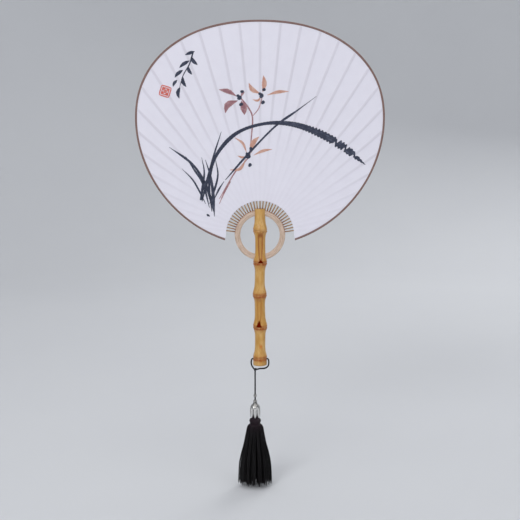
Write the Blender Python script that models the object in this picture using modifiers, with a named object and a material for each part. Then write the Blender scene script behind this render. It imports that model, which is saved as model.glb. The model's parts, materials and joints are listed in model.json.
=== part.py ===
"""Round hand fan: a paper leaf on bamboo ribs, a hoop, a bamboo-root handle and a hanging tassel.

Frame: +Z up along the handle, +X across the leaf, and the painted side of the leaf faces -Y.
The origin is the centre of the handle's flat butt. Run it with: blender --background --python part.py
"""

import math

import bmesh
import bpy
from mathutils import Matrix, Vector

MM = 0.001
GAP = 0.05 * MM  # between glued layers of the leaf
CLEARANCE = 0.3 * MM  # between pieces that cross or nest

# Handle: a bamboo root with evenly spaced nodes
HANDLE_LENGTH = 176.0 * MM
NODE_COUNT = 5
FIRST_NODE_Z = 8.1 * MM
NODE_PITCH = 36.1 * MM
INTERNODE_R = 5.7 * MM
NODE_R = 7.8 * MM
NODE_ROWS = (-9.0, -5.5, -2.5, 0.0, 2.5, 5.5, 9.0)  # mm from a node, where the profile has a point
NODE_SPREAD = 5.5 * MM
BUTT_R = 7.6 * MM
BUTT_SPREAD = 5.0 * MM
HANDLE_TOP_R = 5.9 * MM
TOP_TAPER = 20.0 * MM
EDGE_BREAK = 0.6 * MM
GROOVE_RADII = (1.7 * MM, 1.3 * MM, 14.0 * MM)
GROOVE_DEPTH = 0.8 * MM
FRONT_GROOVES = (3, 1)  # number of the node below each groove, counted from the butt
BACK_GROOVES = (2, 0)

# Hoop
RING_Z = 147.0 * MM
RING_OUTER_R = 27.8 * MM
RING_INNER_R = 21.7 * MM
RING_THICKNESS = 4.4 * MM

# Leaf outline: two half superellipses on one centre, cut by the hand opening below
LEAF_CENTRE_Z = RING_Z + 125.0 * MM
LEAF_HALF_WIDTH = 135.0 * MM
LEAF_RISE = 105.7 * MM
LEAF_DROP = 137.5 * MM
UPPER_EXPONENT = 2.2
LOWER_EXPONENT = 1.93
OPENING_R = 37.5 * MM
CORNER_X = 38.5 * MM
OUTLINE_POINTS = 72
OPENING_POINTS = 24

# Layers of the leaf, from the middle outwards
RIB_COUNT = 31
RIB_PITCH = math.radians(5.5)
RIB_WIDTH = 1.5 * MM
RIB_THICKNESS = 0.8 * MM
SOCKET_DEPTH = 1.9 * MM
SOCKET_EXTRA = 0.2 * MM
RIB_END_GAP = 0.6 * MM
PAPER_THICKNESS = 0.3 * MM
BINDING_WIDTH = 2.2 * MM
BINDING_WALL = 0.25 * MM
BINDING_EDGE = 0.5 * MM

# Pegs that hold the hoop in the handle
PEG_R = 0.75 * MM
PEG_RING_R = 24.2 * MM
PEG_FRONT = 3.9 * MM
PEG_HOLE_EXTRA = 0.2 * MM

# Cord: a loop through the butt, knotted below it, then a straight drop left of the handle's centre
CORD_R = 0.9 * MM
CORD_X = -5.5 * MM
CORD_HOLE_Z = 7.0 * MM
CORD_HOLE_R = 1.5 * MM
LOOP_SIDE = ((5.6, 7.0), (8.4, 6.9), (9.6, 5.2), (9.8, 1.2), (8.6, -2.2))  # (x, z) in mm, both sides
LOOP_UNDER = ((5.2, -4.2), (0.0, -4.6))  # (x, z) in mm, below the butt
KNOT_Z = -5.6 * MM
KNOT_R = 2.0 * MM
TILT_Z = -20.0 * MM
CORD_END_GAP = 0.5 * MM
END_KNOT_Z = -66.0 * MM
END_KNOT_R = 1.7 * MM

# Bead and cap: (radius, drop below the top) pairs in mm
BEAD_Z = -36.0 * MM
BEAD_R = 1.9 * MM
BEAD_HALF_HEIGHT = 1.3 * MM
CAP_TOP_Z = -41.4 * MM
CAP_NECK = ((1.9, 0.0), (2.3, 1.2), (1.9, 2.4))
CAP_BELL = ((2.4, 3.7), (4.4, 5.6), (5.5, 7.6), (5.9, 10.6), (5.8, 14.0), (5.3, 19.8))
CAP_WALL = 0.7 * MM
PETAL_COUNT = 8
PETAL_NOTCH = 2.6 * MM

# Tassel: (radius, drop below the top) pairs in mm
HEAD_TOP_Z = -49.0 * MM
HEAD_IN_CAP = ((2.2, 0.0), (3.4, 2.4), (4.2, 5.5), (4.2, 13.0))
HEAD_BELOW_CAP = ((6.2, 14.4), (6.7, 16.4), (6.2, 18.4), (5.1, 19.2), (5.1, 21.0))
NECK_Z = -69.4 * MM
NECK_BAND = ((5.8, -0.8), (6.3, 0.0), (5.8, 0.8))
NECK_INNER_R = 5.4 * MM
SKIRT_TOP_Z = -70.6 * MM
SKIRT = ((6.8, 0.0), (8.5, 2.0), (9.8, 10.0), (12.0, 22.0), (15.2, 33.5), (17.6, 45.5), (19.0, 69.0))
SKIRT_DEPTH_SHARE = 0.75  # front-to-back size over side-to-side size

BAMBOO = ("pale_bamboo", (0.60, 0.44, 0.30), 0.55, 0.0)
ROOT = ("bamboo_root", (0.55, 0.33, 0.11), 0.35, 0.0)
PAPER = ("leaf_paper", (0.82, 0.81, 0.86), 0.9, 0.0)
BINDING = ("edge_binding", (0.22, 0.13, 0.12), 0.75, 0.0)
CORD = ("black_cord", (0.015, 0.014, 0.02), 0.7, 0.0)
SILK = ("dark_silk", (0.022, 0.014, 0.022), 0.5, 0.0)
SILVER = ("silver", (0.75, 0.75, 0.76), 0.25, 1.0)


def clear_scene():
    for obj in list(bpy.data.objects):
        bpy.data.objects.remove(obj)


def new_collection(name):
    collection = bpy.data.collections.new(name)
    bpy.context.scene.collection.children.link(collection)
    return collection


def material_for(finish):
    name, colour, roughness, metallic = finish
    found = bpy.data.materials.get(name)
    if found:
        return found
    made = bpy.data.materials.new(name)
    made.use_nodes = True
    shader = made.node_tree.nodes["Principled BSDF"]
    shader.inputs["Base Color"].default_value = (*colour, 1.0)
    shader.inputs["Roughness"].default_value = roughness
    shader.inputs["Metallic"].default_value = metallic
    return made


def add_part(name, data, finish, parent=None):
    """A finished piece in the fan's collection."""
    obj = bpy.data.objects.new(name, data)
    data.materials.append(material_for(finish))
    FAN.objects.link(obj)
    obj.parent = parent
    return obj


def add_cutter(name, data):
    """A hidden helper shape."""
    obj = bpy.data.objects.new(name, data)
    CUTTERS.objects.link(obj)
    obj.hide_render = True
    obj.display_type = "WIRE"
    return obj


def combine(obj, other, operation):
    modifier = obj.modifiers.new(other.name, "BOOLEAN")
    modifier.operation = operation
    modifier.object = other


def mesh_of(name, bm):
    mesh = bpy.data.meshes.new(name)
    bm.to_mesh(mesh)
    bm.free()
    return mesh


def box_mesh(name, boxes):
    """One mesh of boxes, each given as (size, placement matrix)."""
    bm = bmesh.new()
    for size, placement in boxes:
        scale = Matrix.Diagonal((*size, 1.0))
        bmesh.ops.create_cube(bm, size=1.0, matrix=placement @ scale)
    return mesh_of(name, bm)


def rod_mesh(name, radius, start, end, segments=16):
    """A capped cylinder from one point to another."""
    start, end = Vector(start), Vector(end)
    along = end - start
    turn = along.to_track_quat("Z", "Y").to_matrix().to_4x4()
    bm = bmesh.new()
    bmesh.ops.create_cone(
        bm,
        cap_ends=True,
        segments=segments,
        radius1=radius,
        radius2=radius,
        depth=along.length,
        matrix=Matrix.Translation((start + end) / 2) @ turn,
    )
    return mesh_of(name, bm)


def ball_mesh(name, radii, centre):
    bm = bmesh.new()
    placement = Matrix.Translation(centre) @ Matrix.Diagonal((*radii, 1.0))
    bmesh.ops.create_uvsphere(
        bm, u_segments=16, v_segments=10, radius=1.0, matrix=placement
    )
    return mesh_of(name, bm)


def turned_mesh(name, profile, steps=24):
    """A shape turned about Z. The profile is (radius, height) pairs, down the outside from the top."""
    closed = profile[0][0] > 0.0
    bm = bmesh.new()
    points = [bm.verts.new((radius, 0.0, height)) for radius, height in profile]
    for first, second in zip(points, points[1:]):
        bm.edges.new((first, second))
    if closed:
        bm.edges.new((points[-1], points[0]))
    guide = add_cutter(name + "_profile", mesh_of(name + "_profile", bm))
    screw = guide.modifiers.new("turn", "SCREW")
    screw.steps = steps
    screw.render_steps = steps
    screw.use_merge_vertices = True
    screw.merge_threshold = 0.001 * MM
    screw.use_smooth_shade = False
    mesh = baked_mesh(guide)
    bpy.data.objects.remove(guide)
    return mesh


def baked_mesh(obj):
    """The object's evaluated shape as a welded mesh."""
    bpy.context.view_layer.update()
    graph = bpy.context.evaluated_depsgraph_get()
    mesh = bpy.data.meshes.new_from_object(obj.evaluated_get(graph))
    mesh.materials.clear()
    bm = bmesh.new()
    bm.from_mesh(mesh)
    bmesh.ops.remove_doubles(bm, verts=bm.verts, dist=0.001 * MM)
    bm.to_mesh(mesh)
    bm.free()
    mesh.name = obj.name
    return mesh


def flat_mesh(name, outline, thickness, centre_y):
    """A flat sheet in the XZ plane, from its (x, z) outline, standing at centre_y."""
    curve = bpy.data.curves.new(name, "CURVE")
    curve.dimensions = "2D"
    curve.fill_mode = "BOTH"
    curve.extrude = thickness / 2
    spline = curve.splines.new("POLY")
    spline.points.add(len(outline) - 1)
    for point, (x, z) in zip(spline.points, outline):
        point.co = (x, z, 0.0, 1.0)
    spline.use_cyclic_u = True
    guide = add_cutter(name + "_outline", curve)
    mesh = baked_mesh(guide)
    bpy.data.objects.remove(guide)
    upright = Matrix.Rotation(math.radians(90), 4, "X")
    mesh.transform(Matrix.Translation((0.0, centre_y, 0.0)) @ upright)
    return mesh


def tube_mesh(name, points, radius, cyclic):
    curve = bpy.data.curves.new(name, "CURVE")
    curve.dimensions = "3D"
    curve.bevel_depth = radius
    curve.bevel_resolution = 2
    curve.use_fill_caps = True
    spline = curve.splines.new("POLY")
    spline.points.add(len(points) - 1)
    for point, place in zip(spline.points, points):
        point.co = (*place, 1.0)
    spline.use_cyclic_u = cyclic
    guide = add_cutter(name + "_path", curve)
    mesh = baked_mesh(guide)
    bpy.data.objects.remove(guide)
    return mesh


def shade(obj, degrees=35.0):
    obj.data.shade_smooth()
    obj.data.set_sharp_from_angle(angle=math.radians(degrees))


# ---------------------------------------------------------------- leaf outline


def leaf_axes(inset):
    """Half width, rise and drop of the outline moved inwards by inset."""
    return LEAF_HALF_WIDTH - inset, LEAF_RISE - inset, LEAF_DROP - inset


def signed_power(value, power):
    return math.copysign(abs(value) ** power, value)


def leaf_outline(inset, corner_x, count=OUTLINE_POINTS):
    """Outline points from the right lower corner, over the top, to the left lower corner."""
    half_width, rise, drop = leaf_axes(inset)
    corner = -math.acos((corner_x / half_width) ** (LOWER_EXPONENT / 2))
    points = []
    for i in range(count + 1):
        angle = corner + (math.pi - 2 * corner) * i / count
        side, up = math.cos(angle), math.sin(angle)
        exponent = UPPER_EXPONENT if up >= 0 else LOWER_EXPONENT
        height = rise if up >= 0 else drop
        x = half_width * signed_power(side, 2 / exponent)
        z = LEAF_CENTRE_Z + height * signed_power(up, 2 / exponent)
        points.append((x, z))
    return points


def opening_outline():
    """The arc round the hoop where the paper stops, from left to right."""
    points = []
    for i in range(OPENING_POINTS + 1):
        angle = math.pi * (1 - i / OPENING_POINTS)
        points.append(
            (OPENING_R * math.cos(angle), RING_Z + OPENING_R * math.sin(angle))
        )
    return points


def reach_to_outline(angle, inset):
    """Distance from the hoop's centre to the inset outline, along a direction in the leaf."""
    half_width, rise, drop = leaf_axes(inset)
    near, far = OPENING_R, LEAF_RISE + LEAF_DROP
    for _ in range(40):
        reach = (near + far) / 2
        x = reach * math.cos(angle)
        up = RING_Z + reach * math.sin(angle) - LEAF_CENTRE_Z
        exponent = UPPER_EXPONENT if up >= 0 else LOWER_EXPONENT
        height = rise if up >= 0 else drop
        inside = abs(x / half_width) ** exponent + abs(up / height) ** exponent < 1
        near, far = (reach, far) if inside else (near, reach)
    return near


def rib_angles():
    middle = (RIB_COUNT - 1) / 2
    return [math.radians(90) + (i - middle) * RIB_PITCH for i in range(RIB_COUNT)]


# ---------------------------------------------------------------- handle and hoop


def node_heights():
    return [FIRST_NODE_Z + NODE_PITCH * i for i in range(NODE_COUNT)]


def bump(distance, spread):
    return math.exp(-((distance / spread) ** 2))


def handle_radius(z):
    """Waisted between the nodes, and swollen at each node and at the butt."""
    swelling = sum(bump(z - node, NODE_SPREAD) for node in node_heights())
    butt = bump(z, BUTT_SPREAD)
    taper = max(0.0, z - (HANDLE_LENGTH - TOP_TAPER)) / TOP_TAPER
    waist = INTERNODE_R + (HANDLE_TOP_R - INTERNODE_R) * taper
    radius = waist + (NODE_R - INTERNODE_R) * swelling + (BUTT_R - INTERNODE_R) * butt
    return min(radius, NODE_R)


def handle_profile():
    heights = [HANDLE_LENGTH - EDGE_BREAK, EDGE_BREAK]
    heights += [z + offset * MM for z in node_heights() for offset in NODE_ROWS]
    inside = [z for z in heights if EDGE_BREAK <= z <= HANDLE_LENGTH - EDGE_BREAK]
    inside = sorted(set(inside), reverse=True)
    profile = [(0.0, HANDLE_LENGTH), (HANDLE_TOP_R - EDGE_BREAK, HANDLE_LENGTH)]
    profile += [(handle_radius(z), z) for z in inside]
    return profile + [(BUTT_R - EDGE_BREAK, 0.0), (0.0, 0.0)]


def groove_cutter(name, lower_node, side):
    """A long shallow hollow in the stem above a bud; side is -1 at the front and 1 at the back."""
    middle = node_heights()[lower_node] + NODE_PITCH / 2
    depth = INTERNODE_R + GROOVE_RADII[1] - GROOVE_DEPTH
    mesh = ball_mesh(name, GROOVE_RADII, (0.0, side * depth, middle))
    return add_cutter(name, mesh)


def make_handle():
    handle = add_part("handle", turned_mesh("handle", handle_profile()), ROOT)
    slot_width = RING_THICKNESS + 2 * CLEARANCE
    across = 4 * NODE_R
    side_drop = RING_INNER_R - math.sqrt(RING_INNER_R**2 - INTERNODE_R**2)
    slot_floor = RING_Z + RING_INNER_R - side_drop - CLEARANCE
    slot_top = HANDLE_LENGTH + NODE_R
    mortise_low = RING_Z - RING_OUTER_R - CLEARANCE
    mortise_high = RING_Z - RING_INNER_R + side_drop + 2 * CLEARANCE
    openings = []
    for low, high in ((slot_floor, slot_top), (mortise_low, mortise_high)):
        place = Matrix.Translation((0.0, 0.0, (low + high) / 2))
        openings.append(((across, slot_width, high - low), place))
    cuts = [add_cutter("ring_openings", box_mesh("ring_openings", openings))]
    hole = rod_mesh(
        "cord_hole", CORD_HOLE_R, (-across, 0, CORD_HOLE_Z), (across, 0, CORD_HOLE_Z)
    )
    cuts.append(add_cutter("cord_hole", hole))
    for side, nodes in ((-1, FRONT_GROOVES), (1, BACK_GROOVES)):
        cuts += [groove_cutter(f"groove_{node}", node, side) for node in nodes]
    for cut in cuts + PEG_HOLES:
        combine(handle, cut, "DIFFERENCE")
    shade(handle)
    return handle


def make_ring(handle):
    half, bevel = RING_THICKNESS / 2, EDGE_BREAK
    profile = [
        (RING_INNER_R + bevel, half),
        (RING_OUTER_R - bevel, half),
        (RING_OUTER_R, half - bevel),
        (RING_OUTER_R, bevel - half),
        (RING_OUTER_R - bevel, -half),
        (RING_INNER_R + bevel, -half),
        (RING_INNER_R, bevel - half),
        (RING_INNER_R, half - bevel),
    ]
    mesh = turned_mesh("ring", profile, steps=64)
    mesh.transform(Matrix.Rotation(math.radians(90), 4, "X"))
    ring = add_part("ring", mesh, BAMBOO, handle)
    ring.location.z = RING_Z
    sockets = []
    depth = 2 * SOCKET_DEPTH
    size = (depth, RIB_THICKNESS + SOCKET_EXTRA, RIB_WIDTH + SOCKET_EXTRA)
    centre = Matrix.Translation((0, 0, RING_Z))
    edge = Matrix.Translation((RING_OUTER_R, 0, 0))
    for angle in rib_angles():
        turn = Matrix.Rotation(-angle, 4, "Y")
        sockets.append((size, centre @ turn @ edge))
    cutter = add_cutter("rib_sockets", box_mesh("rib_sockets", sockets))
    combine(ring, cutter, "DIFFERENCE")
    for hole in PEG_HOLES:
        combine(ring, hole, "DIFFERENCE")
    shade(ring)
    return ring


def peg_places():
    """(name, height, back end, front end) of each peg; the front end stays hidden in the handle."""
    rows = []
    for name, sign in (("upper", 1), ("lower", -1)):
        z = RING_Z + sign * PEG_RING_R
        rows.append((name, z, handle_radius(z) - CLEARANCE, -PEG_FRONT))
    return rows


def make_peg_holes():
    holes = []
    for name, z, _, front in peg_places():
        start, end = (0, front - CLEARANCE, z), (0, 2 * NODE_R, z)
        mesh = rod_mesh(name, PEG_R + PEG_HOLE_EXTRA, start, end)
        holes.append(add_cutter(f"peg_hole_{name}", mesh))
    return holes


def make_pegs(handle):
    for name, z, back, front in peg_places():
        mesh = rod_mesh(name, PEG_R, (0, front, z), (0, back, z))
        peg = add_part(f"ring_peg_{name}", mesh, BAMBOO, handle)
        shade(peg)


# ---------------------------------------------------------------- leaf


def make_ribs(handle):
    inner = RING_OUTER_R - SOCKET_DEPTH + CLEARANCE
    for i, angle in enumerate(rib_angles(), start=1):
        length = reach_to_outline(angle, BINDING_WIDTH + RIB_END_GAP) - inner
        middle = Matrix.Translation((inner + length / 2, 0, 0))
        mesh = box_mesh(
            f"rib_{i:02d}", [((length, RIB_THICKNESS, RIB_WIDTH), middle)]
        )
        rib = add_part(f"rib_{i:02d}", mesh, BAMBOO, handle)
        rib.location.z = RING_Z
        rib.rotation_euler.y = -angle


def make_papers(handle):
    outline = leaf_outline(BINDING_EDGE + 2 * GAP, CORNER_X) + opening_outline()
    offset = RIB_THICKNESS / 2 + GAP + PAPER_THICKNESS / 2
    for name, side in (("front_paper", -1), ("back_paper", 1)):
        mesh = flat_mesh(name, outline, PAPER_THICKNESS, side * offset)
        add_part(name, mesh, PAPER, handle)


def make_binding(handle):
    """A strip folded over the leaf's edge, from one lower corner round to the other."""
    inside = RIB_THICKNESS + 2 * (PAPER_THICKNESS + 2 * GAP)
    thickness = inside + 2 * BINDING_WALL
    inner_edge = leaf_outline(BINDING_WIDTH, CORNER_X)
    band = leaf_outline(0.0, CORNER_X) + inner_edge[::-1]
    binding = add_part(
        "rim_binding", flat_mesh("rim_binding", band, thickness, 0.0), BINDING, handle
    )
    fold = leaf_outline(BINDING_EDGE, CORNER_X - BINDING_WIDTH)
    fold += [(-OPENING_R / 2, RING_Z + OPENING_R), (OPENING_R / 2, RING_Z + OPENING_R)]
    mesh = flat_mesh("binding_fold", fold, inside, 0.0)
    combine(binding, add_cutter("binding_fold", mesh), "DIFFERENCE")


# ---------------------------------------------------------------- cord and tassel


def curve_point(before, start, end, after, t):
    """A point between start and end on the Catmull-Rom curve through all four."""
    linear = (end - before) * t
    square = (2 * before - 5 * start + 4 * end - after) * t**2
    cube = (3 * start - before - 3 * end + after) * t**3
    return start + 0.5 * (linear + square + cube)


def smooth_loop(corners, steps=3):
    """Points along a closed smooth curve through the corners."""
    points = []
    for i in range(len(corners)):
        four = [Vector(corners[(i + k) % len(corners)]) for k in (-1, 0, 1, 2)]
        points += [curve_point(*four, step / steps) for step in range(steps)]
    return points


def make_cord_loop(handle):
    """The cord passes through the butt, comes down both sides and is knotted below it."""
    corners = [(x * MM, 0.0, z * MM) for x, z in LOOP_SIDE + LOOP_UNDER]
    corners.append((CORD_X, 0.0, KNOT_Z))
    corners += [(-x * MM, 0.0, z * MM) for x, z in reversed(LOOP_SIDE)]
    mesh = tube_mesh("cord_loop", smooth_loop(corners), CORD_R, cyclic=True)
    hinge = bpy.data.objects.new("loop_hinge", None)
    FAN.objects.link(hinge)
    hinge.parent = handle
    hinge.location.z = CORD_HOLE_Z
    mesh.transform(Matrix.Translation((0, 0, -CORD_HOLE_Z)))
    loop = add_part("cord_loop", mesh, CORD, hinge)
    knot = ball_mesh("knot", (KNOT_R, KNOT_R, KNOT_R), (CORD_X, 0, KNOT_Z))
    combine(loop, add_cutter("knot", knot), "UNION")
    shade(loop)
    return hinge


def hang(name, parent, x, z):
    """An empty on a joint's axis, given in the fan's frame."""
    joint = bpy.data.objects.new(name, None)
    FAN.objects.link(joint)
    joint.parent = parent
    bpy.context.view_layer.update()
    joint.matrix_world = Matrix.Translation((x, 0, z))
    bpy.context.view_layer.update()
    return joint


def turned_part(name, profile, finish, joint, steps=24):
    """A turned piece on the cord's line, with its origin on the joint's axis."""
    joint_z = joint.matrix_world.translation.z
    mesh = turned_mesh(name, [(radius, z - joint_z) for radius, z in profile], steps)
    piece = add_part(name, mesh, finish, joint)
    shade(piece)
    return piece


def make_upper_cord(loop_hinge):
    joint = hang("cord_hinge", loop_hinge, CORD_X, KNOT_Z)
    top = KNOT_Z - KNOT_R - CORD_END_GAP
    bottom = TILT_Z + CORD_END_GAP
    profile = [(0.0, top), (CORD_R, top), (CORD_R, bottom), (0.0, bottom)]
    turned_part("upper_cord", profile, CORD, joint, steps=12)
    return joint


def make_lower_cord(upper_joint):
    joint = hang("tassel_hinge", upper_joint, CORD_X, TILT_Z)
    top = TILT_Z - CORD_END_GAP
    bottom = END_KNOT_Z - END_KNOT_R
    profile = [
        (0.0, top),
        (CORD_R, top),
        (CORD_R, END_KNOT_Z + END_KNOT_R),
        (END_KNOT_R, END_KNOT_Z + 0.5 * END_KNOT_R),
        (END_KNOT_R, END_KNOT_Z - 0.5 * END_KNOT_R),
        (0.5 * END_KNOT_R, bottom),
        (0.0, bottom),
    ]
    turned_part("lower_cord", profile, CORD, joint, steps=12)
    return joint


def rows_below(top_z, rows):
    """Profile points from a table of (radius, drop) pairs in mm."""
    return [(radius * MM, top_z - drop * MM) for radius, drop in rows]


def make_bead(cap_joint):
    joint = hang("bead_slide", cap_joint, CORD_X, BEAD_Z)
    bore = CORD_R + CLEARANCE
    shape = ((0.8, 1.0), (1.0, 0.4), (1.0, -0.4), (0.8, -1.0))
    profile = [(r * BEAD_R, BEAD_Z + up * BEAD_HALF_HEIGHT) for r, up in shape]
    profile.append((bore, BEAD_Z - BEAD_HALF_HEIGHT))
    profile.append((bore, BEAD_Z + BEAD_HALF_HEIGHT))
    turned_part("stopper_bead", profile, SILVER, joint, steps=16)


def notch_cutter():
    """Square bars set corner up across the cap's lower edge, between the petals."""
    tip_r, tip_z = rows_below(CAP_TOP_Z, CAP_BELL)[-1]
    lean = Matrix.Rotation(math.radians(45), 4, "X")
    notches = []
    for i in range(PETAL_COUNT):
        turn = Matrix.Rotation(2 * math.pi * i / PETAL_COUNT, 4, "Z")
        across = Matrix.Translation((tip_r, 0, 0))
        middle = Matrix.Translation((CORD_X, 0, tip_z - PETAL_NOTCH / 4))
        size = (tip_r, PETAL_NOTCH, PETAL_NOTCH)
        notches.append((size, middle @ turn @ across @ lean))
    return add_cutter("petal_notches", box_mesh("petal_notches", notches))


def make_cap(lower_joint):
    """A bell of petals over the tassel's head."""
    joint = hang("cap_slide", lower_joint, CORD_X, CAP_TOP_Z)
    neck = rows_below(CAP_TOP_Z, CAP_NECK)
    bell = rows_below(CAP_TOP_Z, CAP_BELL)
    bore = CORD_R + CLEARANCE
    inside = [(radius - CAP_WALL, z) for radius, z in reversed(bell)]
    hole = [(bore, bell[0][1] + CAP_WALL), (bore, CAP_TOP_Z)]
    cap = turned_part("silver_cap", neck + bell + inside + hole, SILVER, joint)
    combine(cap, notch_cutter(), "DIFFERENCE")
    return joint


def make_head(joint):
    """The wound head, hollow for the cord and for the knot at the cord's end."""
    outside = rows_below(HEAD_TOP_Z, HEAD_IN_CAP + HEAD_BELOW_CAP)
    bore = CORD_R + CLEARANCE
    pocket = END_KNOT_R + CLEARANCE
    shoulder = END_KNOT_Z + END_KNOT_R + CLEARANCE
    bottom = outside[-1][1]
    inside = [(pocket, bottom), (pocket, shoulder), (bore, shoulder)]
    turned_part("tassel_head", outside + inside + [(bore, HEAD_TOP_Z)], SILK, joint)


def make_neck_binding(joint):
    band = rows_below(NECK_Z, NECK_BAND)
    inside = [(NECK_INNER_R, band[-1][1]), (NECK_INNER_R, band[0][1])]
    turned_part("neck_binding", band + inside, SILK, joint)


def make_skirt(joint):
    """The threads, as one closed solid of their outer shape, flattened front to back."""
    outside = rows_below(SKIRT_TOP_Z, SKIRT)
    profile = [(0.0, SKIRT_TOP_Z)] + outside + [(0.0, outside[-1][1])]
    skirt = turned_part("tassel_skirt", profile, SILK, joint)
    skirt.data.transform(Matrix.Diagonal((1.0, SKIRT_DEPTH_SHARE, 1.0, 1.0)))


def make_tassel(lower_joint):
    joint = hang("tassel_spin", lower_joint, CORD_X, HEAD_TOP_Z)
    make_head(joint)
    make_neck_binding(joint)
    make_skirt(joint)


clear_scene()
FAN = new_collection("hand_fan")
CUTTERS = new_collection("cutters")
PEG_HOLES = make_peg_holes()

fan_handle = make_handle()
make_ring(fan_handle)
make_pegs(fan_handle)
make_ribs(fan_handle)
make_papers(fan_handle)
make_binding(fan_handle)

loop_joint = make_cord_loop(fan_handle)
cord_joint = make_upper_cord(loop_joint)
tassel_joint = make_lower_cord(cord_joint)
make_bead(make_cap(tassel_joint))
make_tassel(tassel_joint)
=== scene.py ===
"""Looks of the round hand fan: papers, ink painting, bamboo, cord, silver cap and silk tassel.

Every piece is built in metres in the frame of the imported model. The painted side faces -Y.
"""

import json
import math

import bmesh
import bpy
import numpy as np
from mathutils import Matrix, Vector


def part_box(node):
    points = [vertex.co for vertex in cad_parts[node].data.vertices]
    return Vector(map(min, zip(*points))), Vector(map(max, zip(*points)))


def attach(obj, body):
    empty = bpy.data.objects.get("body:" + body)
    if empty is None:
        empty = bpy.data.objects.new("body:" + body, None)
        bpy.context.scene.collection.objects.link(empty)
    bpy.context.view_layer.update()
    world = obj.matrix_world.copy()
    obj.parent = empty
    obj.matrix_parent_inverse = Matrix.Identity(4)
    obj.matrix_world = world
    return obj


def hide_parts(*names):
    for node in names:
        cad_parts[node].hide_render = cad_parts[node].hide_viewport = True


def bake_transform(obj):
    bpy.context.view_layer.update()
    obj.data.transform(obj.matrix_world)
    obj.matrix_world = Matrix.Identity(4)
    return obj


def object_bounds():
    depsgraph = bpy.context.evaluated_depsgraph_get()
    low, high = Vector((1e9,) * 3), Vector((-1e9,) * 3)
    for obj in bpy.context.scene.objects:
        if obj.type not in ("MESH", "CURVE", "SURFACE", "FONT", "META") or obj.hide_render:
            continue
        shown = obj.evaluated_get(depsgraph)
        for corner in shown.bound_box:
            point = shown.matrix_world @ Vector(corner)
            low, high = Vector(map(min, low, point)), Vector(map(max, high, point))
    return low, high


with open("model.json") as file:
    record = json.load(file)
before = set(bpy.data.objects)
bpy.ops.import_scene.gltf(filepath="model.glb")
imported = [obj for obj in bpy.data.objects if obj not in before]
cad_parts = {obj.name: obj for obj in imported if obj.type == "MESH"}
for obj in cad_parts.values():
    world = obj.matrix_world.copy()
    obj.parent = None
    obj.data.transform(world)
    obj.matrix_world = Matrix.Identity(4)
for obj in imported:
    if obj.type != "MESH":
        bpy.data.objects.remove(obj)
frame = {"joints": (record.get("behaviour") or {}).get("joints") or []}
CAD_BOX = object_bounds()
MM = 0.001
TURN = 2 * math.pi


# ---- places taken from the frame


def middle(node):
    low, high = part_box(node)
    return (low + high) / 2


def half_size(node):
    low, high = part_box(node)
    return (high - low) / 2


def joint_place(name):
    found = next(joint for joint in frame["joints"] if joint["name"] == name)
    return Vector(found["pos_m"])


RING_Z = middle("ring").z
RING_OUTER_R = half_size("ring").x
RING_INNER_R = RING_OUTER_R - 6.1 * MM
RING_THICKNESS = 2 * half_size("ring").y
HANDLE_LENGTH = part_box("handle")[1].z
NODE_R = half_size("handle").x
CORD_X = middle("upper_cord").x
CORD_R = half_size("upper_cord").x
CORD_TWIST = 5.2 * MM
KNOT = joint_place("cord_swing")
CORD_HOLE = joint_place("loop_swing")
TILT = joint_place("tassel_tilt")
SKIRT_HALF = half_size("tassel_skirt")
SKIRT_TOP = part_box("tassel_skirt")[1].z

# Leaf outline: two half superellipses on one centre
LEAF_HALF_WIDTH = half_size("rim_binding").x
LEAF_CENTRE_Z = RING_Z + 125.0 * MM
LEAF_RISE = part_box("rim_binding")[1].z - LEAF_CENTRE_Z
LEAF_DROP = 137.5 * MM
UPPER_EXPONENT = 2.2
LOWER_EXPONENT = 1.93
OPENING_R = 37.5 * MM
CORNER_X = 38.5 * MM
PAPER_INSET = 0.6 * MM
BINDING_WIDTH = 2.2 * MM
HALVINGS = 40
SETTLING_ROUNDS = 4

# Ribs and the relief that they press into the papers
RIB_COUNT = 31
RIB_PITCH = math.radians(5.5)
RIB_WIDTH = 1.5 * MM
RIB_THICKNESS = 0.8 * MM
RIB_INNER_R = RING_OUTER_R - 1.6 * MM
RIB_END_INSET = BINDING_WIDTH + 0.6 * MM
CREST = 0.78 * MM
VALLEY = 0.46 * MM
RIDGE_FLAT = 0.5 * MM
RIDGE_FOOT = 2.2 * MM
SOFT_FROM, SOFT_TO = 40 * MM, 165 * MM
PAPER_THICKNESS = 0.26 * MM
INK_THICKNESS = 0.10 * MM
INK_LAYERS = {"stems": 0.10 * MM, "petals": 0.13 * MM, "blades": 0.16 * MM, "dots": 0.19 * MM}

# Brush marks, in mm
STROKE_STEP = 0.5
BREAK_EVERY = 12.5

# Bead, cap and tassel
TURNED_COLUMNS = 48
BEAD_FLUTES = 8
PETALS = 8
PETAL_THICKNESS = 0.35 * MM
HEAD_THREADS = 84
NECK_TURNS = 5
SKIRT_THREADS = 880
SKIRT_LOCKS = 30
THREAD_STEPS = np.linspace(0, 1, 19)
THREAD_SIDES = 5
ACROSS_THREAD = (0.3, 1, 0.2)

# Handle
NODE_HEIGHTS = [(8.1 + 36.1 * i) * MM for i in range(5)]
INTERNODE_R = 5.7 * MM
BUTT_R = 7.6 * MM
TOP_R = 5.9 * MM
TOP_TAPER = 20 * MM
FLARE_ABOVE, FLARE_BELOW = 6.6 * MM, 5.2 * MM
END_ROUNDING = 0.7 * MM
GROOVE_DEPTH = 1.15 * MM
ROOTLETS = 17
CORD_HOLE_R = 1.5 * MM
MORTISE_GAP = 0.15 * MM
FRONT, BACK = -math.pi / 2, math.pi / 2
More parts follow.
